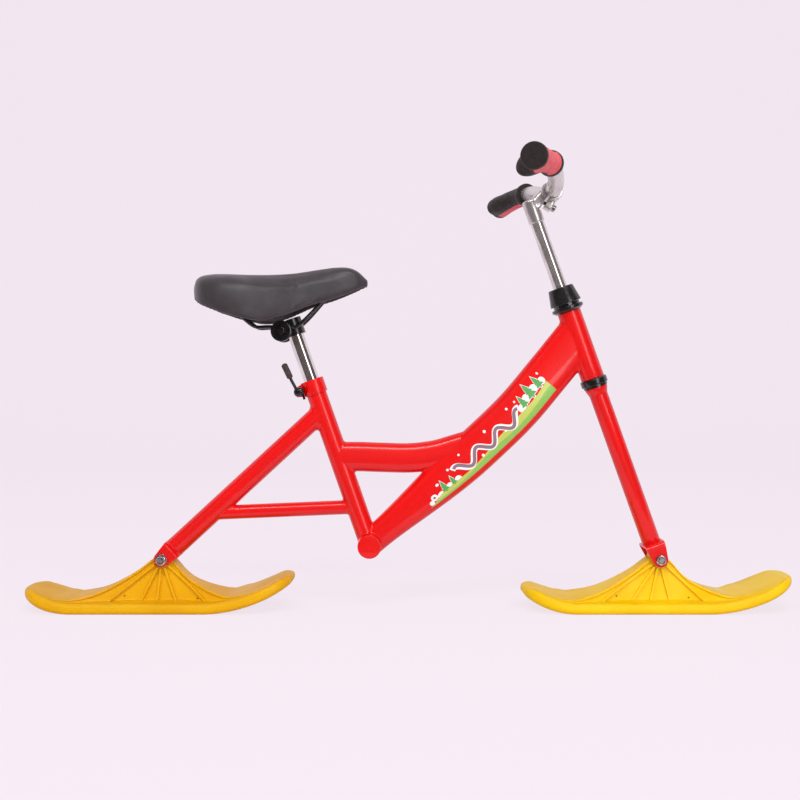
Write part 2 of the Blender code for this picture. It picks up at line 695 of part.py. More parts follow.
def make_stem_bolts():
    wedge = rod("expander_wedge", QUILL_R, 0.312, 0.360, STEER, ZINC)
    cut(wedge, block("wedge_slant", (-CLEAR, -CLEAR, 0.0), (CLEAR, CLEAR, 0.050), wedge_plane(-GAP)))
    cut(wedge, rod("wedge_thread", BOLT_R + GAP, 0.30, 0.37, STEER, sides=SMALL_SIDES))
    bolt = rod("expander_bolt", BOLT_R, 0.306, STEM_TOP - 0.0060, STEER, ZINC, sides=SMALL_SIDES)
    join(bolt, rod("expander_head", 0.0062, STEM_TOP - 0.0087, STEM_TOP - 0.0007, STEER, sides=20))
    cut(bolt, hexagon("expander_key", 0.0060, STEM_TOP - 0.0050, STEM_TOP + 0.01, STEER, None))
    axis = pinch_axis()
    pinch = rod("pinch_bolt", 0.0030, -0.0085, 0.0150, axis, ZINC, sides=SMALL_SIDES)
    join(pinch, rod("pinch_head", 0.0052, 0.0133, 0.0178, axis, sides=SMALL_SIDES))
    cut(pinch, hexagon("pinch_key", 0.0050, 0.0150, 0.03, axis, None))


# The handlebar: straight in the clamp, then rising a little and swept back

BAR_MIDDLE = STEER @ Vector((CLAMP_FORWARD, 0, CLAMP_UP))
BAR_HALF = 0.2150
BAR_BENDS = ((0, 0, 0), (0, 0.022, 0), (0, 0.036, 0), (-0.004, 0.062, 0.006), (-0.0155, 0.115, 0.0165),
             (-0.0330, 0.165, 0.0150), (-0.0510, BAR_HALF, 0.0107))
GRIP_LENGTH = 0.095
GRIP_R = 0.0158
WING_DROP = {1: -4, -1: 22}
GRIP_CAP = 0.0040


def bar_path():
    right = [Vector((x, -y, z)) for x, y, z in reversed(BAR_BENDS[1:])]
    return [(p.x, p.y, p.z) for p in smooth_path(right + [Vector(p) for p in BAR_BENDS], 0.020)]


def make_handlebar(matrix):
    path = bar_path()
    bar = wire("handlebar", path, BAR_R, matrix, SILVER, closed=False)
    hollow(bar, 0.0020)


def grip_frame(sign):
    """The end of the bar: Z points out along it, and X towards the wing."""
    outer = Vector(BAR_BENDS[-1])
    inner = Vector(BAR_BENDS[-2])
    out = (outer - inner).normalized()
    out.y *= sign
    drop = math.radians(WING_DROP[sign])
    wing = Vector((-math.cos(drop), 0, -math.sin(drop)))
    wing = (wing - out * wing.dot(out)).normalized()
    side = out.cross(wing)
    end = Vector((outer.x, outer.y * sign, outer.z))
    turn = Matrix((wing, side, out)).transposed().to_4x4()
    return Matrix.Translation(end) @ turn


def make_grip(name, sign, matrix):
    """A soft sleeve with a flange at its inner end and a palm wing towards its outer end."""
    count = 16
    path = [Vector(p) for p in bar_path() if p[1] * sign > 0.05]
    path = path if sign > 0 else list(reversed(path))
    home = grip_frame(sign)
    wing = home.to_3x3().col[0]
    end = home.translation
    inner = [p for p in path if (p - end).length < GRIP_LENGTH]
    out = home.to_3x3().col[2]
    stations = [(p, -(p - end).length) for p in inner] + [(end + out * GRIP_CAP, GRIP_CAP)]
    outer_rows, inner_rows = [], []
    for k, (centre, place_along) in enumerate(stations):
        ahead = stations[min(k + 1, len(stations) - 1)][0] - stations[max(k - 1, 0)][0]
        ahead.normalize()
        across = (wing - ahead * wing.dot(ahead)).normalized()
        other = ahead.cross(across)
        lobe = 0.0145 * ramp(place_along, -0.072, -0.022) * ramp(-place_along, -0.004, 0.008)
        flange = 0.0016 * (1 - ramp(place_along, -GRIP_LENGTH + 0.006, -GRIP_LENGTH + 0.016))
        cap = 0.0008 * ramp(place_along, -0.008, 0.0) - 0.0012 * ramp(place_along, 0.002, 0.004)
        row, bore_row = [], []
        for step in range(count):
            angle = 2 * math.pi * step / count
            c, s = math.cos(angle), math.sin(angle)
            radius = GRIP_R + flange + cap + lobe * max(c, 0) ** 3
            row.append(centre + across * c * radius + other * s * radius)
            bore = 0.0018 if place_along > 0 else BAR_R + GAP
            bore_row.append(centre + across * c * bore + other * s * bore)
        outer_rows.append(row)
        inner_rows.append(bore_row)
    lid = [end + (p - stations[-1][0]) for p in inner_rows[-1]]
    inside = inner_rows[:-2] + [[end + out * GAP + (p - end) for p in inner_rows[-2]]]
    inside += [[p + out * GAP for p in lid], inner_rows[-1]]
    return loft_ring(name, outer_rows, inside, matrix, RUBBER)


def loft_ring(name, outside, inside, matrix, material):
    """A sleeve: an outer skin and an inner skin, joined at both ends."""
    bm = bmesh.new()
    rows = [[bm.verts.new(p) for p in row] for row in outside + list(reversed(inside))]
    rows.append(rows[0])
    count = len(rows[0])
    for lower, upper in zip(rows, rows[1:]):
        for k in range(count):
            after = (k + 1) % count
            bm.faces.new((lower[k], lower[after], upper[after], upper[k]))
    return place(name, mesh_from(bm, name), matrix, material)


# The seat clamp with its quick release, and the post

def make_seat_collar():
    low = COLLAR_TOP - COLLAR_HEIGHT
    collar = ring("seat_collar", SEAT_TUBE_R + GAP, SEAT_TUBE_R + 0.0022, low, COLLAR_TOP, SEAT, RED)
    outline = ((-0.0155, low + 0.001), (-0.0270, low + 0.004), (-0.0270, COLLAR_TOP - 0.004),
               (-0.0155, COLLAR_TOP - 0.001))
    join(collar, prism("collar_ears", outline, EAR_HALF, SEAT))
    start, end = (-0.040, -SLOT_HALF, low - CLEAR), (-0.0100, SLOT_HALF, COLLAR_TOP + CLEAR)
    cut(collar, block("collar_slot", start, end, SEAT))
    cut(collar, rod("collar_hole", SKEWER_R + GAP, -0.03, 0.03, skewer_axis(), sides=SMALL_SIDES))


def skewer_axis():
    return SEAT @ Matrix.Translation((-SKEWER_BACK, 0, SKEWER_UP)) @ ACROSS


def lever_pivot():
    """The cross pin that the cam drum turns on, beside the collar's right ear."""
    return SEAT @ Matrix.Translation((-SKEWER_BACK, -LEVER_SIDE, SKEWER_UP))


def make_skewer():
    """The skewer, its nut, and the hollow-faced seat that the cam presses against the ear."""
    axis = skewer_axis()
    rod("skewer", SKEWER_R, DRUM_R + GAP - LEVER_SIDE, 0.0165, axis, ZINC, sides=SMALL_SIDES)
    nut = rod("skewer_nut", 0.0070, EAR_HALF + GAP, 0.0155, axis, BLACK_STEEL, sides=12, top_radius=0.0062)
    cut(nut, rod("skewer_nut_thread", SKEWER_R + GAP, 0, 0.03, axis, sides=SMALL_SIDES))
    middle = SEAT @ Matrix.Translation((-SKEWER_BACK, 0, SKEWER_UP))
    face = -EAR_HALF - GAP
    low, high = (-0.0060, face - 0.0036, -0.0058), (0.0060, face, 0.0058)
    seat = block("lever_seat", low, high, middle, BLACK_STEEL)
    low, high = (0.0018, face - 0.0029, -0.0125), (0.0052, face - 0.0005, -0.0040)
    join(seat, block("lever_seat_tail", low, high, middle))
    across = lever_pivot() @ Matrix.Rotation(math.radians(90), 4, "Y")
    cut(seat, rod("lever_seat_hollow", DRUM_R + GAP, -CLEAR, CLEAR, across))
    cut(seat, rod("lever_seat_hole", SKEWER_R + GAP, -CLEAR, 0, axis, sides=SMALL_SIDES))


def make_lever():
    """The cam drum turns on a cross pin, and the handle lies up along the seat tube."""
    pivot = lever_pivot()
    across = pivot @ Matrix.Rotation(math.radians(90), 4, "Y")
    drum = rod("lever_cam", DRUM_R, -DRUM_HALF, DRUM_HALF, across, BLACK_STEEL, sides=20)
    arm = [(-0.002, -0.001, 0.0), (-0.003, -0.0030, 0.010), (-0.0045, -0.0040, 0.020),
           (-0.0058, -0.0040, 0.034)]
    join(drum, wire("lever_arm", smooth_path(arm, 0.006), 0.0022, pivot, resolution=2))
    grip = [(-0.0047, -0.0040, 0.0215), (-0.0052, -0.0040, 0.028), (-0.0070, -0.0040, 0.0445)]
    sleeve = wire("lever_sleeve", smooth_path(grip, 0.008), 0.0044, pivot, BLACK_PLASTIC, resolution=3)
    cut(sleeve, wire("lever_sleeve_bore", smooth_path(arm, 0.006), 0.0022 + GAP, pivot, resolution=2))


def make_post():
    ring("seat_post", POST_R - TUBE_WALL, POST_R, POST_TOP - POST_LENGTH, POST_TOP, SEAT, CHROME)


# The saddle clamp: a steel band round the post, and toothed discs that grip the rails

BAND_R = 0.0148
BAND_LOW = 0.3140
DISC_R = 0.0147
RAIL_R = 0.0025
RAIL_SIDE = 0.0213
RAIL_UP = 0.0060
SADDLE_BOLT_R = 0.0030
INNER_DISC = (0.0151, 0.0208)
OUTER_DISC = (0.0218, 0.0272)
SADDLE_BOLT = SEAT @ Matrix.Translation((-SADDLE_BOLT_BACK, 0, SADDLE_BOLT_UP))
SADDLE_X = SADDLE_BOLT.translation.x
SADDLE_Z = SADDLE_BOLT.translation.z
SADDLE_PIVOT = Matrix.Translation((SADDLE_X, 0, SADDLE_Z))


def make_band():
    band = rod("clamp_band", BAND_R, BAND_LOW, POST_TOP + 0.001, SEAT, BLACK_STEEL)
    join(band, block("band_ears", (-0.0245, -BAND_R, BAND_LOW), (0, BAND_R, POST_TOP + 0.001), SEAT))
    cut(band, rod("band_bore", POST_R + GAP, BAND_LOW - CLEAR, POST_TOP + CLEAR, SEAT))
    low, high = (-0.040, -0.0095, BAND_LOW - CLEAR), (-0.0050, 0.0095, POST_TOP + CLEAR)
    cut(band, block("band_slot", low, high, SEAT))
    cut(band, rod("band_hole", SADDLE_BOLT_R + GAP, -0.03, 0.03, SADDLE_PIVOT @ ACROSS, sides=SMALL_SIDES))


def rail_groove(name, side):
    return rod(name, RAIL_R + GAP, -0.05, 0.05, SADDLE_PIVOT @ Matrix.Translation((0, side, RAIL_UP))
               @ Matrix.Rotation(math.radians(90), 4, "Y"), sides=SMALL_SIDES)


def make_discs():
    axis = SADDLE_PIVOT @ ACROSS
    for side, sign in (("right", -1), ("left", 1)):
        for kind, (near, far) in (("inner", INNER_DISC), ("outer", OUTER_DISC)):
            name = f"{kind}_disc_{side}"
            low, high = sorted((sign * near, sign * far))
            disc = ring(name, SADDLE_BOLT_R + GAP, DISC_R, low, high, axis, BLACK_STEEL)
            cut(disc, rail_groove(name + "_groove", sign * RAIL_SIDE))
        low, high = sorted((sign * (OUTER_DISC[1] + GAP), sign * (OUTER_DISC[1] + 0.0053)))
        nut = hexagon(f"saddle_nut_{side}", 0.0100, low, high, axis, BLACK_STEEL)
        thread = SADDLE_BOLT_R + GAP
        cut(nut, rod(f"saddle_nut_{side}_thread", thread, low - CLEAR, high + CLEAR, axis, sides=SMALL_SIDES))
    rod("saddle_bolt", SADDLE_BOLT_R, -0.0342, 0.0342, axis, BLACK_STEEL, sides=SMALL_SIDES)


def rail_path(sign):
    """From its socket at the back, down to the clamp, and up to its socket under the nose."""
    bends = ((-0.0622, 0.0345, 0.0282), (-0.0570, 0.0330, 0.0230), (-0.0490, 0.0295, 0.0150),
             (-0.0360, RAIL_SIDE, RAIL_UP), (-0.0180, RAIL_SIDE, RAIL_UP), (0.0165, RAIL_SIDE, RAIL_UP),
             (0.0215, RAIL_SIDE, RAIL_UP), (0.0345, 0.0200, 0.0175), (0.0480, 0.0170, 0.0320),
             (0.0640, 0.0150, 0.0508))
    return smooth_path([(x, y * sign, z) for x, y, z in bends], 0.007)


def make_rails():
    for side, sign in (("right", -1), ("left", 1)):
        wire(f"rail_{side}", rail_path(sign), RAIL_R, SADDLE_PIVOT, BLACK_STEEL, resolution=2)


# The saddle: a padded top with a side skirt, over a moulded base

SADDLE_TOP = ((-0.3010, 0.458), (-0.2960, 0.466), (-0.2850, 0.4705), (-0.2570, 0.471), (-0.2170, 0.470),
              (-0.1670, 0.472), (-0.1170, 0.4795), (-0.0870, 0.483), (-0.0710, 0.478), (-0.0575, 0.466))
SADDLE_SKIRT = ((-0.3010, 0.437), (-0.2920, 0.431), (-0.2670, 0.420), (-0.2370, 0.410), (-0.2020, 0.4045),
                (-0.1720, 0.413), (-0.1370, 0.4270), (-0.0970, 0.440), (-0.0670, 0.4535), (-0.0575, 0.459))
SADDLE_HALF = ((-0.3010, 0.022), (-0.2960, 0.040), (-0.2850, 0.056), (-0.2590, 0.069), (-0.2270, 0.069),
               (-0.1920, 0.056), (-0.1570, 0.040), (-0.1220, 0.029), (-0.0920, 0.024), (-0.0710, 0.019),
               (-0.0575, 0.008))


def saddle_stations(low, high, count):
    """Closer together towards both ends."""
    return [low + (high - low) * (0.5 - 0.5 * math.cos(math.pi * k / count)) for k in range(count + 1)]


def cushion_section(x):
    half, top, skirt = along(SADDLE_HALF, x), along(SADDLE_TOP, x), along(SADDLE_SKIRT, x)
    tall = top - skirt
    lip = min(0.006, half * 0.3)
    roof = skirt + min(0.012, tall * 0.4)
    side = ((half - lip, roof), (half - lip, skirt), (half - 0.0015, skirt), (half, skirt + tall * 0.12),
            (half * 0.985, skirt + tall * 0.42), (half * 0.90, skirt + tall * 0.74),
            (half * 0.70, skirt + tall * 0.92), (half * 0.38, skirt + tall * 0.985))
    right = [Vector((x, y, z)) for y, z in side]
    left = [Vector((p.x, -p.y, p.z)) for p in reversed(right)]
    return [Vector((x, 0, roof))] + right + [Vector((x, 0, top))] + left


def base_section(x):
    half, top, skirt = along(SADDLE_HALF, x), along(SADDLE_TOP, x), along(SADDLE_SKIRT, x)
    tall = top - skirt
    edge = half - min(0.006, half * 0.3) - 0.0006
    roof = skirt + min(0.012, tall * 0.4) - GAP
    side = ((edge - 0.002, roof - 0.0050), (edge, roof - 0.0050), (edge, roof))
    right = [Vector((x, y, z)) for y, z in side]
    left = [Vector((p.x, -p.y, p.z)) for p in reversed(right)]
    return [Vector((x, 0, roof - 0.0030))] + right + [Vector((x, 0, roof))] + left


def make_saddle():
    stations = saddle_stations(SADDLE_TOP[0][0], SADDLE_TOP[-1][0], 18)
    loft("saddle_cushion", [cushion_section(x) for x in stations], Matrix.Identity(4), VINYL)
    base = loft("saddle_base", [base_section(x) for x in stations[2:-3]], Matrix.Identity(4), BLACK_PLASTIC)
    for side, sign in (("right", -1), ("left", 1)):
        socket = longer(rail_path(sign), GAP)
        cut(base, wire(f"rail_{side}_socket", socket, RAIL_R + GAP, SADDLE_PIVOT, resolution=2))


# Moving bodies hang from an empty on their joint's axis

def carry(empty_name, matrix, names, parent=None):
    empty = bpy.data.objects.new(empty_name, None)
    PARTS.objects.link(empty)
    empty.matrix_world = matrix
    if parent:
        empty.parent = parent
        empty.matrix_parent_inverse = parent.matrix_world.inverted()
    bpy.context.view_layer.update()
    for name in names:
        item = bpy.data.objects[name]
        item.parent = empty
        item.matrix_parent_inverse = empty.matrix_world.inverted()
    return empty


def pin_names(name):
    return [name + part for part in ("_sleeve", "_bolt", "_nut", "_washer_right", "_washer_left")]


def build():
    make_head_tube()
    make_down_tube()
    make_top_tube()
    make_seat_tube()
    make_bottom_shell()
    make_rear_stay()
    make_brace()
    make_clevis("rear_clevis", STAY)
    make_pin("rear_pin", REAR_PIN)
    make_headset()
    make_fork()
    make_clevis("front_clevis", STEER)
    make_pin("front_pin", FRONT_PIN)
    make_stem()
    make_stem_bolts()
    bar = Matrix.Translation(BAR_MIDDLE)
    make_handlebar(bar)
    make_grip("grip_right", -1, bar)
    make_grip("grip_left", 1, bar)
    make_seat_collar()
    make_skewer()
    make_lever()
    make_post()
    make_band()
    make_discs()
    make_rails()
    make_saddle()
    make_ski("rear_ski", REAR_PIN)
    make_ski("front_ski", FRONT_PIN)

    fork = carry("steering_axis", STEER, ["fork_leg", "steerer_tube", "crown_race", "top_race", "lock_nut",
                                          "headset_cover", "front_clevis"] + pin_names("front_pin"))
    stem = carry("stem_slide", STEER, ["stem", "expander_wedge", "expander_bolt", "pinch_bolt"], fork)
    carry("bar_axis", bar, ["handlebar", "grip_right", "grip_left"], stem)
    carry("front_ski_axis", FRONT_PIN, ["front_ski"], fork)
    carry("rear_ski_axis", REAR_PIN, ["rear_ski"])
    post = carry("post_slide", SEAT, ["seat_post", "clamp_band"])
    discs = [f"{kind}_disc_{side}" for kind in ("inner", "outer") for side in ("right", "left")]
    seat = ["saddle_nut_right", "saddle_nut_left", "saddle_bolt", "rail_right", "rail_left", "saddle_base",
            "saddle_cushion"]
    carry("saddle_axis", SADDLE_PIVOT, discs + seat, post)
    carry("lever_axis", lever_pivot(), ["lever_cam", "lever_sleeve"])


build()
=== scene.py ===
# %% [markdown]
# A child's snow bike, dressed for its picture.
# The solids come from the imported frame: every tube, bolt and bearing is already at its real size
# and place, in metres. This file gives them their finish, and makes finer meshes for the pieces
# whose surface the eye rests on. Nothing here moves a solid.

# %% Load the frame
import json
import math

import bpy
from mathutils import Matrix, Vector


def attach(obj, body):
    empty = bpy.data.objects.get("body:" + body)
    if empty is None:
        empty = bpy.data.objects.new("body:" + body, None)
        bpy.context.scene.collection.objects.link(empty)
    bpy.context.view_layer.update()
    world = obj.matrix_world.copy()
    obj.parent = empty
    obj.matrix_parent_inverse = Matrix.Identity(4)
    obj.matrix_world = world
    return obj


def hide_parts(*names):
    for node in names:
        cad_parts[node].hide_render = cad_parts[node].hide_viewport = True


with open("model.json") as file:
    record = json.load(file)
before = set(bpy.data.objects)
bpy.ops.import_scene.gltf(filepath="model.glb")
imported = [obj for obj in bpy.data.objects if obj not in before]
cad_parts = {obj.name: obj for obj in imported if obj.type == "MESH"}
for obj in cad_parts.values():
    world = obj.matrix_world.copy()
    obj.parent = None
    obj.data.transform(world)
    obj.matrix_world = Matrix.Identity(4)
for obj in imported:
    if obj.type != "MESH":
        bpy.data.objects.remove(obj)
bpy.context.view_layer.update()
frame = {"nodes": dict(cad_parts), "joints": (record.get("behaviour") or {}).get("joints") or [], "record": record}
JOINTS = {joint["name"]: joint for joint in frame["joints"]}

# %% [markdown]
# The camera stands level in front of the bike's right side, about one and a half metres away, as
# a product photographer would place it. A level camera keeps upright things upright, so the
# picture is framed by shifting the lens a little and not by tilting the camera.

# %% Camera
IMAGE_SIDE = 800
SHIFT_RIGHT_PX = 15
SHIFT_DOWN_PX = 20
CAMERA_PLACE = (-0.0325, -1.65, 0.323)
LENS_MM = 52.29
SENSOR_MM = 36


def make_camera():
    data = bpy.data.cameras.new("camera")
    data.lens = LENS_MM
    data.sensor_width = SENSOR_MM
    data.shift_x = SHIFT_RIGHT_PX / IMAGE_SIDE
    data.shift_y = -SHIFT_DOWN_PX / IMAGE_SIDE
    camera = bpy.data.objects.new("camera", data)
    bpy.context.scene.collection.objects.link(camera)
    camera.location = CAMERA_PLACE
    camera.rotation_euler = (math.radians(90), 0, 0)
    bpy.context.scene.camera = camera


make_camera()
bpy.context.scene.view_settings.view_transform = "Standard"
print("camera at", CAMERA_PLACE, "lens", LENS_MM)

# %% [markdown]
# Colours are picked as hex values in a paint program, and those are coded for screens. Blender
# mixes light in linear values, so one function turns each hex colour to linear. One more function
# adds a node to a material with its settings and links, which is all that any material needs.

# %% Colour and node helpers
def linear(code):
    """An sRGB hex colour as linear red, green, blue and alpha."""
    parts = [int(code[k:k + 2], 16) / 255 for k in (1, 3, 5)]
    return (*[p / 12.92 if p <= 0.04045 else ((p + 0.055) / 1.055) ** 2.4 for p in parts], 1.0)


def add(tree, kind, inputs=(), **settings):
    """Adds one node. Settings are its own properties, inputs its values or the sockets to link."""
    made = tree.nodes.new(kind)
    for name, value in settings.items():
        setattr(made, name, value)
    for key, value in dict(inputs).items():
        if isinstance(value, bpy.types.NodeSocket):
            tree.links.new(value, made.inputs[key])
        else:
            made.inputs[key].default_value = value
    return made


def start_material(name, color, roughness, **values):
    """A Principled material, with the values that are the same all over it."""
    made = bpy.data.materials.new(name)
    made.use_nodes = True
    shader = made.node_tree.nodes["Principled BSDF"]
    shader.inputs["Base Color"].default_value = linear(color)
    shader.inputs["Roughness"].default_value = roughness
    for key, value in values.items():
        shader.inputs[key.replace("_", " ")].default_value = value
    made.diffuse_color = linear(color)
    return made


RANGE = {"From Min": 0.35, "From Max": 0.65}
NOISE, CELLS = "ShaderNodeTexNoise", "ShaderNodeTexVoronoi"


def relief(kind, per_metre, strength, depth, **inputs):
    """A fine pattern of that many features a metre, and how deep it is pressed, in metres."""
    settings = {"feature": "SMOOTH_F1"} if kind == CELLS else {}
    return kind, {"Scale": per_metre, **inputs}, {"Strength": strength, "Distance": depth}, settings


def finish(name, colors, per_metre, gloss, pattern, stretch=(1, 1, 1), **values):
    """A material that is mottled softly between two colours and two glosses, with a relief on it."""
    made = start_material(name, colors[0], sum(gloss) / 2, **values)
    tree, shader = made.node_tree, made.node_tree.nodes["Principled BSDF"]
    place = add(tree, "ShaderNodeTexCoord").outputs["Object"]
    turned_place = add(tree, "ShaderNodeMapping", {"Vector": place, "Scale": stretch}).outputs[0]
    noise = add(tree, NOISE, {"Vector": turned_place, "Scale": per_metre, "Detail": 4.0}).outputs[0]
    share = add(tree, "ShaderNodeMapRange", {"Value": noise, **RANGE})
    mix = add(tree, "ShaderNodeMix", {"Factor": share.outputs[0]}, data_type="RGBA")
    for slot, color in zip((6, 7), colors):
        mix.inputs[slot].default_value = linear(color)
    tree.links.new(mix.outputs[2], shader.inputs["Base Color"])
    glosses = {"To Min": gloss[0], "To Max": gloss[1]}
    rough = add(tree, "ShaderNodeMapRange", {"Value": noise, **RANGE, **glosses})
    tree.links.new(rough.outputs[0], shader.inputs["Roughness"])
    kind, inputs, depth, settings = pattern
    height = add(tree, kind, {"Vector": turned_place, **inputs}, **settings).outputs[0]
    bump = add(tree, "ShaderNodeBump", {"Height": height, **depth})
    tree.links.new(bump.outputs[0], shader.inputs["Normal"])
    return made


# %% [markdown]
# The frame, fork and collar are steel tube with a gloss polyester powder coat. Powder melts and
# flows in an oven, so the film has a faint orange peel: waves a few millimetres long and a few
# hundredths deep, which make the edges of reflections swim a little. A clear coat on the shader
# gives the sharp highlight, and a barely darker second red keeps the colour from being flat.

# %% Red powder coat
ORANGE_PEEL = relief(NOISE, 320.0, 0.10, 0.00035, Detail=1.5)
RED = finish("red_powder_coat", ("#E80C0C", "#DE0A0A"), 9.0, (0.26, 0.34), ORANGE_PEEL,
             Specular_IOR_Level=0.3, Coat_Weight=0.4, Coat_Roughness=0.06, Coat_IOR=1.5)
print("waves of the orange peel:", round(1000 / ORANGE_PEEL[1]["Scale"], 1), "mm long")

# %% [markdown]
# The skis are injection-moulded polypropylene. It is a waxy plastic: its skin is half glossy with
# a soft, wide highlight, and light enters it a little, which keeps its shadows warm. The mould's
# fine spark-eroded texture is drawn as a small noise, coarser than the real one so that it shows.

# %% Yellow polypropylene
SKI_COLORS = {"rear_ski": ("#E8B004", "#DFA400"), "front_ski": ("#F6CC06", "#EEC000")}
YELLOW = {ski: finish("yellow_polypropylene_" + ski.split("_")[0], colors, 14.0, (0.36, 0.46),
                      relief(NOISE, 900.0, 0.12, 0.0002, Detail=2.0), Specular_IOR_Level=0.20,
                      Subsurface_Weight=0.10, Subsurface_Scale=0.004, Subsurface_Radius=(1.0, 0.6, 0.1))
          for ski, colors in SKI_COLORS.items()}
print("ski plastics:", len(YELLOW))

# %% [markdown]
# The seat post and the stem's quill are chromed steel tube: a mirror with a trace of polishing
# lines round the tube. The bar is aluminium with a satin anodised skin, the bolts are zinc plated
# with a mottled grey bloom, and the small black parts are gloss painted steel.

# %% Metals
POLISHED = relief(NOISE, 150.0, 0.04, 0.0002, Detail=1.0)
CHROME, HAZY_CHROME = (finish(name, ("#ECE8E7", "#D9D3D2"), 40.0, (0.045, 0.10), POLISHED, Metallic=mirror)
                       for name, mirror in (("chrome_plate", 0.92), ("hazy_chrome_plate", 0.80)))
SATIN = finish("satin_aluminium", ("#E0DCDA", "#CFC9C8"), 60.0, (0.24, 0.36),
               relief(NOISE, 1600.0, 0.04, 0.0001, Detail=2.0), (1, 0.2, 1), Metallic=0.8)
ZINC = finish("zinc_plate", ("#D4D5D6", "#A9AAAD"), 260.0, (0.20, 0.38),
              relief(NOISE, 900.0, 0.12, 0.0001, Detail=3.0), Metallic=1.0)
BLACK = finish("black_gloss_paint", ("#141315", "#1C1A1C"), 120.0, (0.24, 0.36),
               relief(NOISE, 500.0, 0.10, 0.0002, Detail=1.5), Coat_Weight=0.5, Coat_Roughness=0.08)
print("metals:", ", ".join(metal.name for metal in (CHROME, HAZY_CHROME, SATIN, ZINC, BLACK)))

# %% [markdown]
# The headset cover and the saddle's base are black ABS from a polished mould. The grips are soft
# thermoplastic rubber, matt with a fine dotted skin. The red panel's rubber is lightened towards pink,
# a painted highlight for the glare of the overhead light. The saddle's cover is PVC leathercloth: a
# pebble grain of about a millimetre, pressed into a black skin with a low, greyish sheen.

# %% Plastics, rubber and vinyl
ABS = finish("black_abs", ("#1D1C1D", "#282627"), 80.0, (0.18, 0.26),
             relief(NOISE, 300.0, 0.06, 0.0002, Detail=1.5), IOR=1.53)
DOTS = relief(CELLS, 900.0, 0.35, 0.0003)
# The red panel is mixed lighter and pinker than its own red: a painted highlight for the overhead light's glare.
RUBBER, PANEL_WITH_PAINTED_HIGHLIGHT, LEVER_SLEEVE = (
    finish(name, colors, 160.0, (0.55, 0.70), DOTS, IOR=1.45, Sheen_Weight=0.05, Sheen_Roughness=0.5)
    for name, colors in (("black_grip_rubber", ("#2B2221", "#221B1A")),
                         ("red_grip_rubber", ("#F2626C", "#EA545E")),
                         ("brown_grey_rubber", ("#463B3C", "#3A3031"))))
VINYL = finish("black_leathercloth", ("#3F393D", "#363034"), 30.0, (0.38, 0.48),
               relief(CELLS, 950.0, 0.40, 0.0004), IOR=1.5, Sheen_Weight=0.15, Sheen_Roughness=0.4)
print("plastics and rubbers:", ", ".join(made.name for made in (ABS, RUBBER, PANEL_WITH_PAINTED_HIGHLIGHT, LEVER_SLEEVE, VINYL)))

# %% Finish of every solid
SLOT_MATERIAL = {"red_paint": RED, "chrome": CHROME, "satin_aluminium": SATIN, "zinc_steel": ZINC,
                 "black_steel": BLACK, "black_plastic": ABS, "grip_rubber": RUBBER, "saddle_vinyl": VINYL}


def dress_solids():
    """Gives every solid the finish of its slot in the record."""
    for entry in frame["record"]["subparts"]:
        node = frame["nodes"][entry["node"]]
        node.data.materials.clear()
        node.data.materials.append(SLOT_MATERIAL.get(entry["material_slot"]) or YELLOW[entry["node"]])


dress_solids()
print("materials:", len(SLOT_MATERIAL) + len(YELLOW))

# %% [markdown]
# The studio is a pale sweep: a floor that curves up into a wall behind the bike. To the camera it
# is the same warm white all over, with only the bike's own soft shadow on it. Two long soft boxes
# stand in front of the bike: one overhead, whose reflection draws the line along the top of each
# level tube, and one upright at the right, which draws the line down each upright tube. Two more
# fill the shadows from either side, and are kept out of reflections. The room behind the camera is
# dark. Only reflections see it: in chrome as brown bands, and in the red paint as depth, because a
# pale room would lay a milky veil over it.

# %% Sweep, lamps and the dark room
BACKGROUND = "#F5EAF3"
SWEEP_HALF = 6.0
SWEEP_BACK = 3.0
SWEEP_RADIUS = 1.5
SWEEP_TALL = 5.0
SWEEP_STEPS = 12
DARK_ROOM = "#40322E"
PAPER_FRONT = -0.35


def seen_directly(tree):
    """Whether the camera or a mirror looks here, and whether it is a mirror that does."""
    path = add(tree, "ShaderNodeLightPath").outputs
    camera, mirror = path["Is Camera Ray"], path["Is Glossy Ray"]
    seen = add(tree, "ShaderNodeMath", {0: camera, 1: mirror}, operation="MAXIMUM")
    return seen.outputs[0], mirror


def dark_behind(tree, kind, place, limit, mirror, rest):
    """The dark room, which only mirrors see, and only behind the limit in Y. Elsewhere is the rest."""
    y = add(tree, "ShaderNodeSeparateXYZ", {0: place}).outputs["Y"]
    behind = add(tree, "ShaderNodeMath", {0: y, 1: limit}, operation="LESS_THAN").outputs[0]
    share = add(tree, "ShaderNodeMath", {0: behind, 1: mirror}, operation="MULTIPLY").outputs[0]
    dark = add(tree, kind, {"Color": linear(DARK_ROOM), "Strength": 1.0}).outputs[0]
    return add(tree, "ShaderNodeMixShader", {0: share, 1: rest, 2: dark}).outputs[0]


def sweep_material():
    """Matt paper that is near its full brightness to the camera, and ends in the dark to mirrors."""
    made = bpy.data.materials.new("pale_paper")
    made.use_nodes = True
    tree = made.node_tree
    tree.nodes.clear()
    seen, mirror = seen_directly(tree)
    paper = add(tree, "ShaderNodeBsdfDiffuse", {"Color": linear("#5E5A5D")})
    glow = add(tree, "ShaderNodeEmission", {"Color": linear(BACKGROUND), "Strength": 0.90})
    both = add(tree, "ShaderNodeAddShader", {0: paper.outputs[0], 1: glow.outputs[0]})
    plain = add(tree, "ShaderNodeBsdfDiffuse", {"Color": linear("#DDD6DB")})
    mix = add(tree, "ShaderNodeMixShader", {0: seen, 1: plain.outputs[0], 2: both.outputs[0]}).outputs[0]
    place = add(tree, "ShaderNodeNewGeometry").outputs["Position"]
    room = dark_behind(tree, "ShaderNodeEmission", place, PAPER_FRONT, mirror, mix)
    add(tree, "ShaderNodeOutputMaterial", {"Surface": room})
    return made


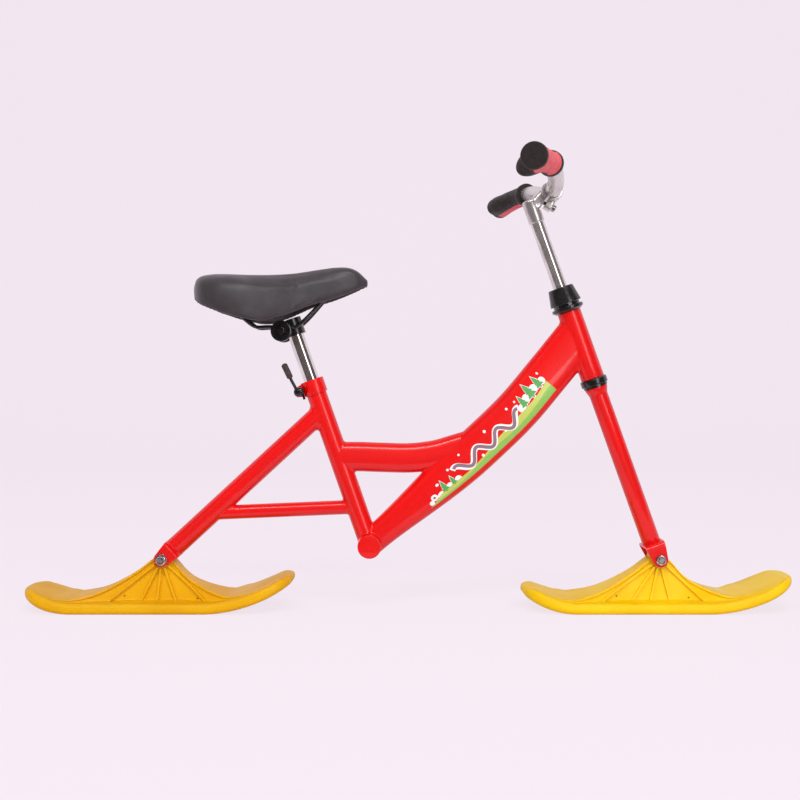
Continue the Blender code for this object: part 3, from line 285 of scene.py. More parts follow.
def make_sweep():
    profile = [(-SWEEP_HALF, 0.0), (SWEEP_BACK, 0.0)]
    for k in range(1, SWEEP_STEPS + 1):
        angle = math.radians(90) * k / SWEEP_STEPS
        profile.append((SWEEP_BACK + SWEEP_RADIUS * math.sin(angle), SWEEP_RADIUS * (1 - math.cos(angle))))
    profile.append((SWEEP_BACK + SWEEP_RADIUS, SWEEP_TALL))
    mesh = bpy.data.meshes.new("sweep")
    points = [(x, y, z) for y, z in profile for x in (-SWEEP_HALF, SWEEP_HALF)]
    faces = [(2 * k, 2 * k + 1, 2 * k + 3, 2 * k + 2) for k in range(len(profile) - 1)]
    mesh.from_pydata(points, [], faces)
    mesh.shade_smooth()
    mesh.materials.append(sweep_material())
    sweep = bpy.data.objects.new("sweep", mesh)
    bpy.context.scene.collection.objects.link(sweep)


def make_lamp(name, place, target, size, power, mirrored=True):
    """An area lamp. One that isn't mirrored lights surfaces but leaves no highlight on them."""
    data = bpy.data.lights.new(name, "AREA")
    data.shape = "RECTANGLE"
    data.size, data.size_y = size
    data.energy = power
    lamp = bpy.data.objects.new(name, data)
    bpy.context.scene.collection.objects.link(lamp)
    lamp.visible_glossy = mirrored
    lamp.location = place
    lamp.rotation_euler = (Vector(target) - Vector(place)).to_track_quat("-Z", "Y").to_euler()


def make_world():
    world = bpy.data.worlds.new("studio")
    bpy.context.scene.world = world
    world.use_nodes = True
    tree = world.node_tree
    tree.nodes.clear()
    seen, mirror = seen_directly(tree)
    light = add(tree, "ShaderNodeBackground", {"Color": linear("#FBF6F9"), "Strength": 0.47})
    view = add(tree, "ShaderNodeBackground", {"Color": linear(BACKGROUND), "Strength": 0.95})
    mix = add(tree, "ShaderNodeMixShader", {0: seen, 1: light.outputs[0], 2: view.outputs[0]}).outputs[0]
    ahead = add(tree, "ShaderNodeTexCoord").outputs["Generated"]
    room = dark_behind(tree, "ShaderNodeBackground", ahead, 0.0, mirror, mix)
    add(tree, "ShaderNodeOutputWorld", {"Surface": room})


make_sweep()
make_world()
make_lamp("overhead_box", (0.1, -2.0, 2.9), (0, 0, 0.3), (2.6, 0.5), 50)
make_lamp("upright_box", (1.30, -2.4, 0.7), (0, 0, 0.35), (0.75, 2.2), 20)
make_lamp("right_fill", (0.4, -2.4, 0.9), (0, 0, 0.35), (1.2, 1.6), 9, mirrored=False)
make_lamp("left_fill", (-2.2, -1.8, 1.0), (0, 0, 0.3), (1.2, 1.6), 14, mirrored=False)
print("lamps:", ", ".join(lamp.name for lamp in bpy.data.lights))

# %% [markdown]
# Every finer piece is modelled the way it would be by hand. A skin starts as a grid primitive
# whose rows are laid over the cross sections of the piece, like cloth over ribs, and is rolled
# round and closed. A turned piece is half of its outline, spun about its axis. The last function
# gives a piece its finish and its body, and hides the solids that it stands in for.

# %% Skins and turned pieces
MERGE = 0.0000015
ROUND = 64


def tilted(x, z, degrees):
    """A frame at (x, 0, z) whose Z leans back by that many degrees from upright."""
    return Matrix.Translation((x, 0, z)) @ Matrix.Rotation(math.radians(-degrees), 4, "Y")


def grasp(piece):
    """Selects one piece alone, as a click on it would."""
    bpy.ops.object.select_all(action="DESELECT")
    piece.select_set(True)
    bpy.context.view_layer.objects.active = piece


def edit(piece, *steps):
    """Runs edit mode steps on the whole of a piece."""
    grasp(piece)
    bpy.ops.object.mode_set(mode="EDIT")
    bpy.ops.mesh.select_all(action="SELECT")
    for step in steps:
        step()
    bpy.ops.object.mode_set(mode="OBJECT")


def merge():
    bpy.ops.mesh.remove_doubles(threshold=MERGE)


def close_holes():
    bpy.ops.mesh.fill_holes(sides=0)


def face_out():
    bpy.ops.mesh.normals_make_consistent(inside=False)


def skin(name, rows, place=Matrix.Identity(4), rolled=True, looped=False, capped=True):
    """A grid laid over rows of points. Rolled closes each row, looped joins the last to the first."""
    rows = [list(row) + ([row[0]] if rolled else []) for row in rows]
    rows = rows + ([rows[0]] if looped else [])
    bpy.ops.object.select_all(action="DESELECT")
    bpy.ops.mesh.primitive_grid_add(x_subdivisions=len(rows[0]) - 1, y_subdivisions=len(rows) - 1, size=1)
    made = bpy.context.object
    made.name = made.data.name = name
    made.data.vertices.foreach_set("co", [c for row in rows for point in row for c in place @ Vector(point)])
    edit(made, merge, *([close_holes] if capped and not looped else []), face_out)
    return made


def turned(name, profile, place, sides=ROUND, looped=True):
    """An outline of (radius, height) points, spun about the frame's Z."""
    mesh = bpy.data.meshes.new(name)
    pairs = [(k, k + 1) for k in range(len(profile) - 1)] + ([(len(profile) - 1, 0)] if looped else [])
    mesh.from_pydata([(radius, 0, height) for radius, height in profile], pairs, [])
    made = bpy.data.objects.new(name, mesh)
    bpy.context.scene.collection.objects.link(made)
    edit(made, lambda: bpy.ops.mesh.spin(steps=sides, angle=2 * math.pi, center=(0, 0, 0), axis=(0, 0, 1)),
         merge, face_out)
    made.data.transform(place)
    return made


def ring_outline(inside, outside, low, high):
    """The outline of a plain ring."""
    return (inside, low), (outside, low), (outside, high), (inside, high)


# %% Modifiers, joining and finishing
def use(piece, kind, **settings):
    """Adds a modifier with its settings and applies it."""
    grasp(piece)
    step = piece.modifiers.new(kind.lower(), kind)
    for name, value in settings.items():
        setattr(step, name, value)
    bpy.ops.object.modifier_apply(modifier=step.name)
    return piece


def soften(piece, width, segments=3, degrees=38):
    """Breaks the sharp edges of a piece with a small round."""
    return use(piece, "BEVEL", width=width, segments=segments, limit_method="ANGLE",
               angle_limit=math.radians(degrees), harden_normals=False)


def combine(piece, other, operation, **settings):
    use(piece, "BOOLEAN", operation=operation, solver="EXACT", object=other, **settings)
    bpy.data.objects.remove(other, do_unlink=True)
    return piece


def gather(name, pieces):
    """Joins separate meshes to one piece."""
    grasp(pieces[0])
    for piece in pieces:
        piece.select_set(True)
    bpy.ops.object.join()
    pieces[0].name = pieces[0].data.name = name
    return pieces[0]


def finished(piece, material, body, *nodes, degrees=35):
    """Gives a piece its material and body, and hides the solids that it stands in for."""
    piece.data.materials.clear()
    piece.data.materials.append(material)
    grasp(piece)
    bpy.ops.object.shade_smooth_by_angle(angle=math.radians(degrees))
    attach(piece, body)
    if nodes:
        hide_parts(*nodes)
    corners = [Vector(corner) for corner in piece.bound_box]
    size = [round(1000 * (max(c[k] for c in corners) - min(c[k] for c in corners)), 1) for k in range(3)]
    print(f"{piece.name}: {len(piece.data.polygons)} faces, {size} mm")
    return piece


# %% Smooth steps, curves and sections along them
def ease(value, low, high):
    """0 below low, 1 above high, and a smooth step between."""
    t = min(max((value - low) / (high - low), 0), 1)
    return t * t * (3 - 2 * t)


def through(points, x):
    """The height at x on one smooth curve through (x, z) points in rising x."""
    if x <= points[0][0]:
        return points[0][1]
    for k in range(len(points) - 1):
        (x0, z0), (x1, z1) = points[k], points[k + 1]
        if x > x1:
            continue
        before, after = points[max(k - 1, 0)], points[min(k + 2, len(points) - 1)]
        slope0, slope1 = (z1 - before[1]) / (x1 - before[0]), (after[1] - z0) / (after[0] - x0)
        t, span = (x - x0) / (x1 - x0), x1 - x0
        return ((2 * t ** 3 - 3 * t ** 2 + 1) * z0 + (t ** 3 - 2 * t ** 2 + t) * span * slope0
                + (3 * t ** 2 - 2 * t ** 3) * z1 + (t ** 3 - t ** 2) * span * slope1)
    return points[-1][1]


def bend(before, start, end, after, t):
    """A place at the share t of the way from start to end, on a curve through all four points."""
    return 0.5 * (2 * start + (end - before) * t + (2 * before - 5 * start + 4 * end - after) * t ** 2
                  + (3 * start - before - 3 * end + after) * t ** 3)


def smooth_path(points, spacing):
    """Points on one smooth curve that passes through the given ones."""
    points = [Vector(p) for p in points]
    ends = [2 * points[0] - points[1]] + points + [2 * points[-1] - points[-2]]
    found = []
    for before, start, end, after in zip(ends, ends[1:], ends[2:], ends[3:]):
        count = max(1, round((end - start).length / spacing))
        found += [bend(before, start, end, after, step / count) for step in range(count)]
    return found + [points[-1]]


def swept_rows(path, radius, sides, across=Vector((0, 1, 0))):
    """Round sections along a path. The radius is a number, or a list with one for each point."""
    rows = []
    for k, centre in enumerate(path):
        ahead = (path[min(k + 1, len(path) - 1)] - path[max(k - 1, 0)]).normalized()
        side = (across - ahead * across.dot(ahead)).normalized()
        other = ahead.cross(side)
        reach = radius[k] if isinstance(radius, list) else radius
        turns = [2 * math.pi * step / sides for step in range(sides)]
        rows.append([centre + side * math.cos(t) * reach + other * math.sin(t) * reach for t in turns])
    return rows


# %% [markdown]
# The frame is welded from steel tube. The head tube, seat tube, stay, brace and fork leg are plain
# round tube. The down tube is hydroformed: it leaves the bottom shell small and round, and is
# pressed out by water to a tall, flat-sided beam before it is pinched to the width of the head
# tube. The top tube is a bent oval. Each is a skin over sections that follow its middle line.

# %% Frame dimensions
REAR_PIN = Vector(JOINTS["rear_ski_pitch"]["pos_m"])
FRONT_PIN = Vector(JOINTS["front_ski_pitch"]["pos_m"])
HEAD_TILT, SEAT_TILT, STAY_RISE = 19.7, 19.4, 42.7
SHELL_X, SHELL_Z = -0.0545, 0.090
STEER = tilted(FRONT_PIN.x, FRONT_PIN.z, HEAD_TILT)
SEAT = tilted(SHELL_X, SHELL_Z, SEAT_TILT)
STAY = tilted(REAR_PIN.x, REAR_PIN.z, STAY_RISE - 90)
ACROSS = Matrix.Rotation(math.radians(-90), 4, "X")
ALONG = Matrix.Rotation(math.radians(90), 4, "Y")
HEAD_R, SEAT_R, SHELL_R, STAY_R, BRACE_R, LEG_R = 0.0167, 0.0143, 0.0165, 0.0140, 0.0100, 0.0130
HEAD_BASE, HEAD_TOP, CROWN = 0.2705, 0.3705, 0.2570
COLLAR_TOP, COLLAR_HEIGHT = 0.2470, 0.0205
CLEVIS_REACH = 0.0207
SINK = 0.0006
FILM = 0.0003


def place_on(matrix, *point):
    return matrix @ Vector(point)


def round_rows(place, radius, low, high, count, sides=ROUND):
    """Sections of a straight tube along the frame's Z."""
    rows = []
    for k in range(count):
        height = low + (high - low) * k / (count - 1)
        turns = [2 * math.pi * step / sides for step in range(sides)]
        rows.append([place_on(place, radius * math.cos(t), radius * math.sin(t), height) for t in turns])
    return rows


def oval(centre, direction, tall, wide, power, count=72):
    """A rounded-box section: tall in the plane of the frame, wide across it."""
    normal = Vector((-direction.z, 0, direction.x)).normalized()
    points = []
    for k in range(count):
        c, s = math.cos(2 * math.pi * k / count), math.sin(2 * math.pi * k / count)
        up = math.copysign(abs(s) ** (2 / power), s) * tall
        out = math.copysign(abs(c) ** (2 / power), c) * wide
        points.append(centre + normal * up + Vector((0, out, 0)))
    return points


# %% Down tube and top tube sections
DOWN_TUBE = ((-0.0530, 0.092), (-0.0333, 0.1094), (0.0039, 0.1412), (0.0439, 0.1761), (0.1009, 0.2277),
             (0.1534, 0.2784), (0.1975, 0.3306), (0.2390, 0.3820), (0.2516, 0.3976))
TOP_TUBE = ((-0.0975, 0.2140), (-0.0690, 0.2143), (-0.0370, 0.2132), (0.0030, 0.2125), (0.0380, 0.2166),
            (0.0680, 0.2250), (0.0980, 0.2340))
TOP_TUBE_HALF, TOP_TUBE_SIDE = 0.0210, 0.0145


def tube_rows(points, section, spacing=0.004):
    path = smooth_path([(x, 0, z) for x, z in points], spacing)
    return [section(centre, path[min(k + 1, len(path) - 1)] - path[max(k - 1, 0)])
            for k, centre in enumerate(path)]


def down_tall(x):
    """Half the down tube's height: it swells from the bottom shell to the middle of its length."""
    return 0.0188 + 0.0129 * ease(x, -0.060, 0.095)


def down_section(centre, direction, grow=0.0):
    wide = 0.0135 + 0.0055 * ease(centre.x, -0.050, 0.060) - 0.0045 * ease(centre.x, 0.150, 0.222)
    return oval(centre, direction, down_tall(centre.x) + grow, wide + grow, 2.5)


def top_section(centre, direction):
    return oval(centre, direction, TOP_TUBE_HALF, TOP_TUBE_SIDE, 2.2)


# %% [markdown]
# Where one tube ends on another, the welder lays a bead all round the joint, and the thick powder
# coat rounds it further, to a smooth hollow a few millimetres wide. To find the joint, each line of
# the ending tube is followed until a ray along it strikes the other tube. The hollow is then a
# skin whose sections run from a little way up the one tube to a little way out on the other. It is
# faintly scalloped where each drop of the bead froze.

# %% Joints between tubes
def strike(target, start, end):
    """Where the line from start to end first meets the target, if it does."""
    line = end - start
    if line.length < MERGE:
        return None
    hit, where, normal, face = target.ray_cast(start, line.normalized(), distance=line.length)
    return where if hit else None


def trim(rows, target):
    """Ends each line of the rows where it strikes the target. Gives (point, way back) pairs there."""
    joint = []
    for k in range(len(rows[0])):
        for i in range(len(rows) - 1):
            where = strike(target, rows[i][k], rows[i + 1][k])
            if where:
                back = (rows[i][k] - rows[i + 1][k]).normalized()
                joint.append((where, back))
                for later in range(i + 1, len(rows)):
                    rows[later][k] = where - back * SINK
                break
    return joint


RIPPLE, RIPPLE_PITCH = 0.06, 0.0032
WELD_STEPS = (0, 0.15, 0.3, 0.5, 0.7, 0.85, 1)


def weld(name, joint, target, width):
    """The hollow round a joint, of that width on either side of it."""
    count = len(joint)
    middle = sum((point for point, back in joint), Vector()) / count
    sections, run = [], 0.0
    for k, (point, back) in enumerate(joint):
        run += (point - joint[k - 1][0]).length if k else 0.0
        reach = width * (1 + RIPPLE * abs(math.sin(math.pi * run / RIPPLE_PITCH)))
        tangent = joint[(k + 1) % count][0] - joint[k - 1][0]
        outward = tangent.cross(back).normalized()
        if outward.dot(point - middle) < 0:
            outward = -outward
        high = point + back * reach - outward * FILM
        hit, low, normal, face = target.closest_point_on_mesh(point + outward * reach)
        low = low - normal * FILM
        curve = [high * (1 - t) ** 2 + point * 2 * t * (1 - t) + low * t ** 2 for t in WELD_STEPS]
        sections.append(curve + [point - outward * SINK - normal * SINK])
    return skin(name, sections, looped=True)


# %% Frame tubes and their welds
BRACE_START, BRACE_END = Vector((-0.287, 0, 0.134)), Vector((-0.063, 0, 0.1435))
HEAD_BORE_R, SHELL_HALF = 0.0153, 0.031


def make_frame_tubes():
    outline = ring_outline(HEAD_BORE_R, HEAD_R, HEAD_BASE, HEAD_TOP)
    head = soften(turned("head_tube_fine", outline, STEER), 0.0005)
    shell = skin("bottom_shell_fine", round_rows(SEAT @ ACROSS, SHELL_R, -SHELL_HALF, SHELL_HALF, 3))
    soften(shell, 0.0016, 4)
    seat_rows = list(reversed(round_rows(SEAT, SEAT_R, 0.004, COLLAR_TOP - 0.002, 40)))
    foot = trim(seat_rows, shell)
    seat = skin("seat_tube_fine", seat_rows)
    lug = seat.copy()
    lug.data = seat.data.copy()
    bpy.context.scene.collection.objects.link(lug)
    shell_copy = shell.copy()
    bpy.context.scene.collection.objects.link(shell_copy)
    combine(lug, shell_copy, "UNION")

    down_rows = tube_rows(DOWN_TUBE, down_section)
    neck = trim(down_rows, head)
    down_rows.reverse()
    heel = trim(down_rows, lug)
    down = skin("down_tube_fine", down_rows)

    top_rows = tube_rows(TOP_TUBE, top_section)
    nose = trim(top_rows, down)
    top_rows.reverse()
    back = trim(top_rows, seat)
    top = skin("top_tube_fine", top_rows)

    stay_rows = round_rows(STAY, STAY_R, CLEVIS_REACH + 0.0003, 0.325, 60)
    crotch = trim(stay_rows, seat)
    stay = skin("rear_stay_fine", stay_rows)

    rise = math.degrees(math.atan2(BRACE_END.z - BRACE_START.z, BRACE_END.x - BRACE_START.x))
    lying = tilted(BRACE_START.x, BRACE_START.z, rise - 90)
    brace_rows = round_rows(lying, BRACE_R, 0, (BRACE_END - BRACE_START).length, 40, 48)
    brace_front = trim(brace_rows, seat)
    brace_rows.reverse()
    brace_back = trim(brace_rows, stay)
    brace = skin("brace_tube_fine", brace_rows)

    welds = [weld("head_weld", neck, head, 0.0055), weld("shell_weld", foot, shell, 0.0030),
             weld("down_tube_weld", heel, lug, 0.0032), weld("top_tube_front_weld", nose, down, 0.0045),
             weld("top_tube_back_weld", back, seat, 0.0045), weld("stay_weld", crotch, seat, 0.0070),
             weld("brace_front_weld", brace_front, seat, 0.0035),
             weld("brace_back_weld", brace_back, stay, 0.0035)]
    bpy.data.objects.remove(lug, do_unlink=True)
    for piece in (head, shell, seat, down, top, stay, brace):
        finished(piece, RED, "frame", piece.name.removesuffix("_fine"))
    for piece in welds:
        finished(piece, RED, "frame", degrees=60)


make_frame_tubes()

# %% [markdown]
# The fork leg is one tube, flared at its top to the width of the bearing seat. It is turned. Each
# ski hangs in a clevis: a strip of three millimetre sheet, round at both ends, folded to a U and
# welded under the tube. The strip is a skin that follows the fold, given its thickness afterwards.

# %% Fork leg and clevises
CLEVIS_OUT, PLATE, CLEVIS_END_R, CLEVIS_HALF = 0.0210, 0.0030, 0.0105, 0.0140
FOLD = 0.0042
BOLT_R = 0.0040
BASE = CLEVIS_REACH + FILM


def arc(centre, radius, start, end, count):
    """Points on an arc of a circle in the plane, from one angle to another."""
    angles = [math.radians(start + (end - start) * k / (count - 1)) for k in range(count)]
    return [(centre[0] + radius * math.cos(a), centre[1] + radius * math.sin(a)) for a in angles]


LEG_WALL, CROWN_R, FLARE_LENGTH = 0.0018, 0.0160, 0.0115


def make_fork_leg():
    low = CROWN - 0.0010 - FLARE_LENGTH
    heights = [low + FLARE_LENGTH * k / 10 for k in range(11)]
    flare = [(LEG_R + (CROWN_R - LEG_R) * ease(z, low, low + FLARE_LENGTH), z) for z in heights]
    bore = LEG_R - LEG_WALL
    outline = [(bore, BASE), (LEG_R, BASE), *flare, (CROWN_R, CROWN), (bore, CROWN)]
    leg = turned("fork_leg_fine", outline, STEER)
    soften(leg, 0.0004, 2, 50)
    finished(leg, RED, "fork", "fork_leg")


def plate_half(height):
    """Half the strip's width: round below the bolt, then straight and widening to the fold."""
    lean = math.atan2(CLEVIS_HALF - CLEVIS_END_R, CLEVIS_REACH)
    if height < CLEVIS_END_R * math.sin(-lean):
        return math.sqrt(max(CLEVIS_END_R ** 2 - height ** 2, 0))
    return min(CLEVIS_END_R / math.cos(lean) + height * math.tan(lean), CLEVIS_HALF)


def make_clevis(name, place, body):
    foot = [(-CLEVIS_OUT, -CLEVIS_END_R * math.cos(math.radians(9 * k))) for k in range(10)]
    leg = [(-CLEVIS_OUT, (CLEVIS_REACH - FOLD) * k / 6) for k in range(1, 6)]
    fold = arc((FOLD - CLEVIS_OUT, CLEVIS_REACH - FOLD), FOLD, 180, 90, 8)
    half = foot + leg + fold
    strip = half + [(-y, z) for y, z in reversed(half)]
    rows = [[place_on(place, plate_half(z) * (k / 4 - 1), y, z) for k in range(9)] for y, z in strip]
    plate = skin(name + "_fine", rows, rolled=False, capped=False)
    use(plate, "SOLIDIFY", thickness=PLATE, offset=-1, use_even_offset=True)
    hole = turned(name + "_hole", ((0, -0.03), (BOLT_R + FILM, -0.03), (BOLT_R + FILM, 0.03), (0, 0.03)),
                  place @ ACROSS, 32, looped=False)
    combine(plate, hole, "DIFFERENCE")
    soften(plate, 0.0005, 3, 50)
    finished(plate, RED, body, name)


def foot_weld(name, place, radius, body):
    """The bead where a round tube stands on the clevis, no wider than the strip."""
    tall = 0.0030
    rows = []
    for k in range(ROUND):
        turn = 2 * math.pi * k / ROUND
        out = Vector((math.cos(turn), math.sin(turn), 0))
        room = (CLEVIS_HALF - 0.0004) / max(abs(out.x), 0.01) - radius
        reach = min(0.0034, max(room, 0.0004)) * (1 + 0.05 * abs(math.sin(9 * turn)))
        curve = [(radius - SINK, BASE + tall), (radius + FILM, BASE + tall * 0.8),
                 (radius + reach * 0.22, BASE + tall * 0.34), (radius + reach * 0.55, BASE + tall * 0.12),
                 (radius + reach, BASE - FILM), (radius - SINK, BASE - SINK)]
        rows.append([place_on(place, out.x * r, out.y * r, z) for r, z in curve])
    finished(skin(name, rows, looped=True), RED, body, degrees=60)


make_fork_leg()
make_clevis("rear_clevis", STAY, "frame")
make_clevis("front_clevis", STEER, "fork")
foot_weld("rear_clevis_weld", STAY, STAY_R, "frame")
foot_weld("front_clevis_weld", STEER, LEG_R, "fork")

# %% [markdown]
# Each ski turns on an M8 bolt with a big washer on either side. The bolt's head and the nut are
# hexagons whose corners are turned off by thirty degrees, so each flat ends in a curved edge. The
# common part of a hexagon and a turned bun has just that shape. The nut is a lock nut: a dark
# nylon ring sits in its mouth, round the bright end of the bolt.

# %% Bolts, nuts and washers
WASHER_R, WASHER = 0.0080, 0.0016
HEX_FLATS, HEAD_TALL, NUT_TALL = 0.0130, 0.0052, 0.0068
FACE = CLEVIS_OUT + 2 * FILM + WASHER
NUT_COLLAR = ((0.0046, 0.0030), (0.0058, 0.0030), (0.0058, 0.0008), (0.0053, 0), (0.0047, 0.0002))
NUT_NYLON = ((BOLT_R - FILM, 0.0030), (0.0048, 0.0030), (0.0048, 0.0005), (BOLT_R - FILM, 0.0010))
NYLON = start_material("dark_nylon", "#2B2E33", 0.5)


def facing(side):
    """Turns a part that is drawn towards +Z over, for the other side of its axis."""
    return Matrix.Identity(4) if side > 0 else Matrix.Rotation(math.radians(180), 4, "X")


def solid_turned(name, outer, place, sides=48):
    """A turned piece that is solid to its axis. The outline runs from low to high."""
    return turned(name, [(0, outer[0][1])] + list(outer) + [(0, outer[-1][1])], place, sides, looped=False)


def rod(name, radius, low, high, place, sides=24):
    """A plain round bar, for boring with."""
    return solid_turned(name, ((radius, low), (radius, high)), place, sides)


def hexagon(name, flats, low, high, place):
    """A hexagonal prism from low to high, with the corners of its high end turned off."""
    corner, flat = flats / math.sqrt(3), flats / 2 * 0.95
    wide = corner * 1.1
    drop = (wide - flat) * math.tan(math.radians(30))
    bpy.ops.object.select_all(action="DESELECT")
    bpy.ops.mesh.primitive_cylinder_add(vertices=6, radius=corner, depth=high - low)
    made = bpy.context.object
    made.name = made.data.name = name
    made.data.transform(place @ Matrix.Translation((0, 0, (low + high) / 2)))
    bun = solid_turned(name + "_bun", ((wide, low - drop), (wide, high - drop), (flat, high)), place)
    return combine(made, bun, "INTERSECT")


def make_pin(name, pin, body, nut_side):
    """The nut is on the side nut_side of Y, and the bolt's head on the other."""
    axis = Matrix.Translation(pin) @ ACROSS
    outline = ring_outline(BOLT_R + FILM, WASHER_R, CLEVIS_OUT + FILM, CLEVIS_OUT + FILM + WASHER)
    for side, word in ((-1, "right"), (1, "left")):
        washer = turned(f"{name}_washer_{word}_fine", outline, axis @ facing(side))
        soften(washer, 0.0003)
        finished(washer, ZINC, body, f"{name}_washer_{word}")
    head_end, nut_end = axis @ facing(-nut_side), axis @ facing(nut_side)
    top = FACE + NUT_TALL
    head = hexagon(name + "_head", HEX_FLATS, FACE, FACE + HEAD_TALL, head_end)
    thread_end = ((BOLT_R, -FACE - 0.001), (BOLT_R, top), (BOLT_R - 0.0009, top + 0.0009))
    shank = solid_turned(name + "_shank", thread_end, nut_end)
    finished(gather(name + "_bolt_fine", [head, shank]), ZINC, body, name + "_bolt")
    nut = hexagon(name + "_hex", HEX_FLATS, FACE, top - 0.0012, nut_end)
    collar = turned(name + "_collar", [(radius, top - depth) for radius, depth in NUT_COLLAR], nut_end, 48)
    finished(gather(name + "_nut_fine", [nut, collar]), ZINC, body, name + "_nut")
    nylon = turned(name + "_nylon", [(radius, top - depth) for radius, depth in NUT_NYLON], nut_end, 48)
    finished(nylon, NYLON, body)


make_pin("rear_pin", REAR_PIN, "frame", -1)
make_pin("front_pin", FRONT_PIN, "fork", -1)

# %% [markdown]
# The headset is turned steel, painted black: a low cup pressed into each end of the head tube, the
# upper one with a wide lip, and a moulded cone over the lock nut that keeps the water out.

# %% Headset
LOWER_CUP = [(0.0142, 0.0065), (0.0142, -0.0055), (0.0174, -0.0059), (0.0176, -0.0100),
             *arc((0.0180, -0.0088), 0.0012, -90, 0, 5), *arc((0.0180, -0.0022), 0.0012, 0, 60, 4),
             (0.0176, -FILM), (0.0150, -FILM), (0.0150, 0.0065)]
UPPER_CUP = [(0.0142, -0.0070), (0.0150, -0.0070), (0.0150, FILM), (0.0180, FILM), (0.0192, 0.0010),
             (0.0206, 0.0026), *arc((0.0214, 0.0040), 0.0012, -45, 0, 4),
             *arc((0.0212, 0.0066), 0.0014, 0, 90, 5), (0.0184, 0.0080), (0.0180, 0.0076), (0.0180, 0.0030),
             (0.0142, 0.0030)]
COVER = [(0.0104, 0.0345), (0.0160, 0.0345), (0.0203, 0.0123), *arc((0.0217, 0.0129), 0.0006, -90, 20, 4),
         (0.0221, 0.0150), (0.0206, 0.0220), (0.0193, 0.0290), *arc((0.0164, 0.0346), 0.0017, 12, 90, 6),
         (0.0104, 0.0363)]


def make_headset():
    """Each outline gives heights above the end of the head tube that the piece sits at."""
    for node, outline, end, material, body in (("lower_cup", LOWER_CUP, HEAD_BASE, BLACK, "frame"),
                                               ("upper_cup", UPPER_CUP, HEAD_TOP, BLACK, "frame"),
                                               ("headset_cover", COVER, HEAD_TOP, ABS, "fork")):
        piece = turned(node + "_fine", outline, STEER @ Matrix.Translation((0, 0, end)))
        finished(piece, material, body, node)


make_headset()

# %% [markdown]
# A ski is one injection moulding: a deck with a rolled rim and turned-up ends, and a hollow-sided
# ridge that sweeps up to the pin. It is a skin over cross sections, with rounded creases where the
# ridge rises from the deck and where its walls turn over at the crest. The walls are set back under
# a shoulder. The two skis are alike, except that the front one's ribs lean further back and its
# small holes sit elsewhere.

# %% Ski outline
PIN_HEIGHT = REAR_PIN.z
SKI_REAR, SKI_FRONT, SKI_HALF, SKI_DECK = 0.1930, 0.1860, 0.0560, 0.0145
RIDGE = ((-0.150, 0.0155), (-0.130, 0.0165), (-0.110, 0.0200), (-0.090, 0.0250), (-0.070, 0.0335),
         (-0.050, 0.0445), (-0.032, 0.0560), (-0.018, 0.0670), (-0.008, 0.0730), (0.008, 0.0730),
         (0.017, 0.0670), (0.028, 0.0540), (0.040, 0.0430), (0.055, 0.0345), (0.072, 0.0275),
         (0.090, 0.0225), (0.110, 0.0200), (0.125, 0.0180))
RIDGE_HALF = ((-0.144, 0.0470), (-0.115, 0.0400), (-0.085, 0.0300), (-0.055, 0.0215),
              (-0.030, 0.0165), (0.000, 0.0155), (0.030, 0.0165), (0.050, 0.0210),
              (0.072, 0.0300), (0.098, 0.0400), (0.124, 0.0470))
POCKET_REAR, POCKET_FRONT = -0.144, 0.124
NOSE, TIP_ROUND = 0.0070, 0.0500
SHOULDER, INSET = 0.0030, 0.0024


def sole(x):
    """Height of the sole, which rises as a parabola towards each end."""
    return 2.55 * max(x - 0.060, 0) ** 2 if x > 0 else 4.16 * max(-x - 0.120, 0) ** 2


def ski_half(x):
    """Half the ski's width, rounded in plan at both ends."""
    past = max(x - (SKI_FRONT - TIP_ROUND), -x - (SKI_REAR - TIP_ROUND), 0) / TIP_ROUND
    return max(SKI_HALF * max(1 - past ** 2.4, 0) ** (1 / 2.4), 0.0030)


def corner(before, point, after, count=6):
    """A rounded corner: a curve from before to after that bends at the point."""
    steps = [k / (count - 1) for k in range(count)]
    return [tuple(b * (1 - t) ** 2 + 2 * p * t * (1 - t) + a * t ** 2
                  for b, p, a in zip(before, point, after)) for t in steps]


def between(start, end, count):
    """Points on a straight line, without its two ends."""
    return [tuple(s + (e - s) * k / (count + 1) for s, e in zip(start, end)) for k in range(1, count + 1)]


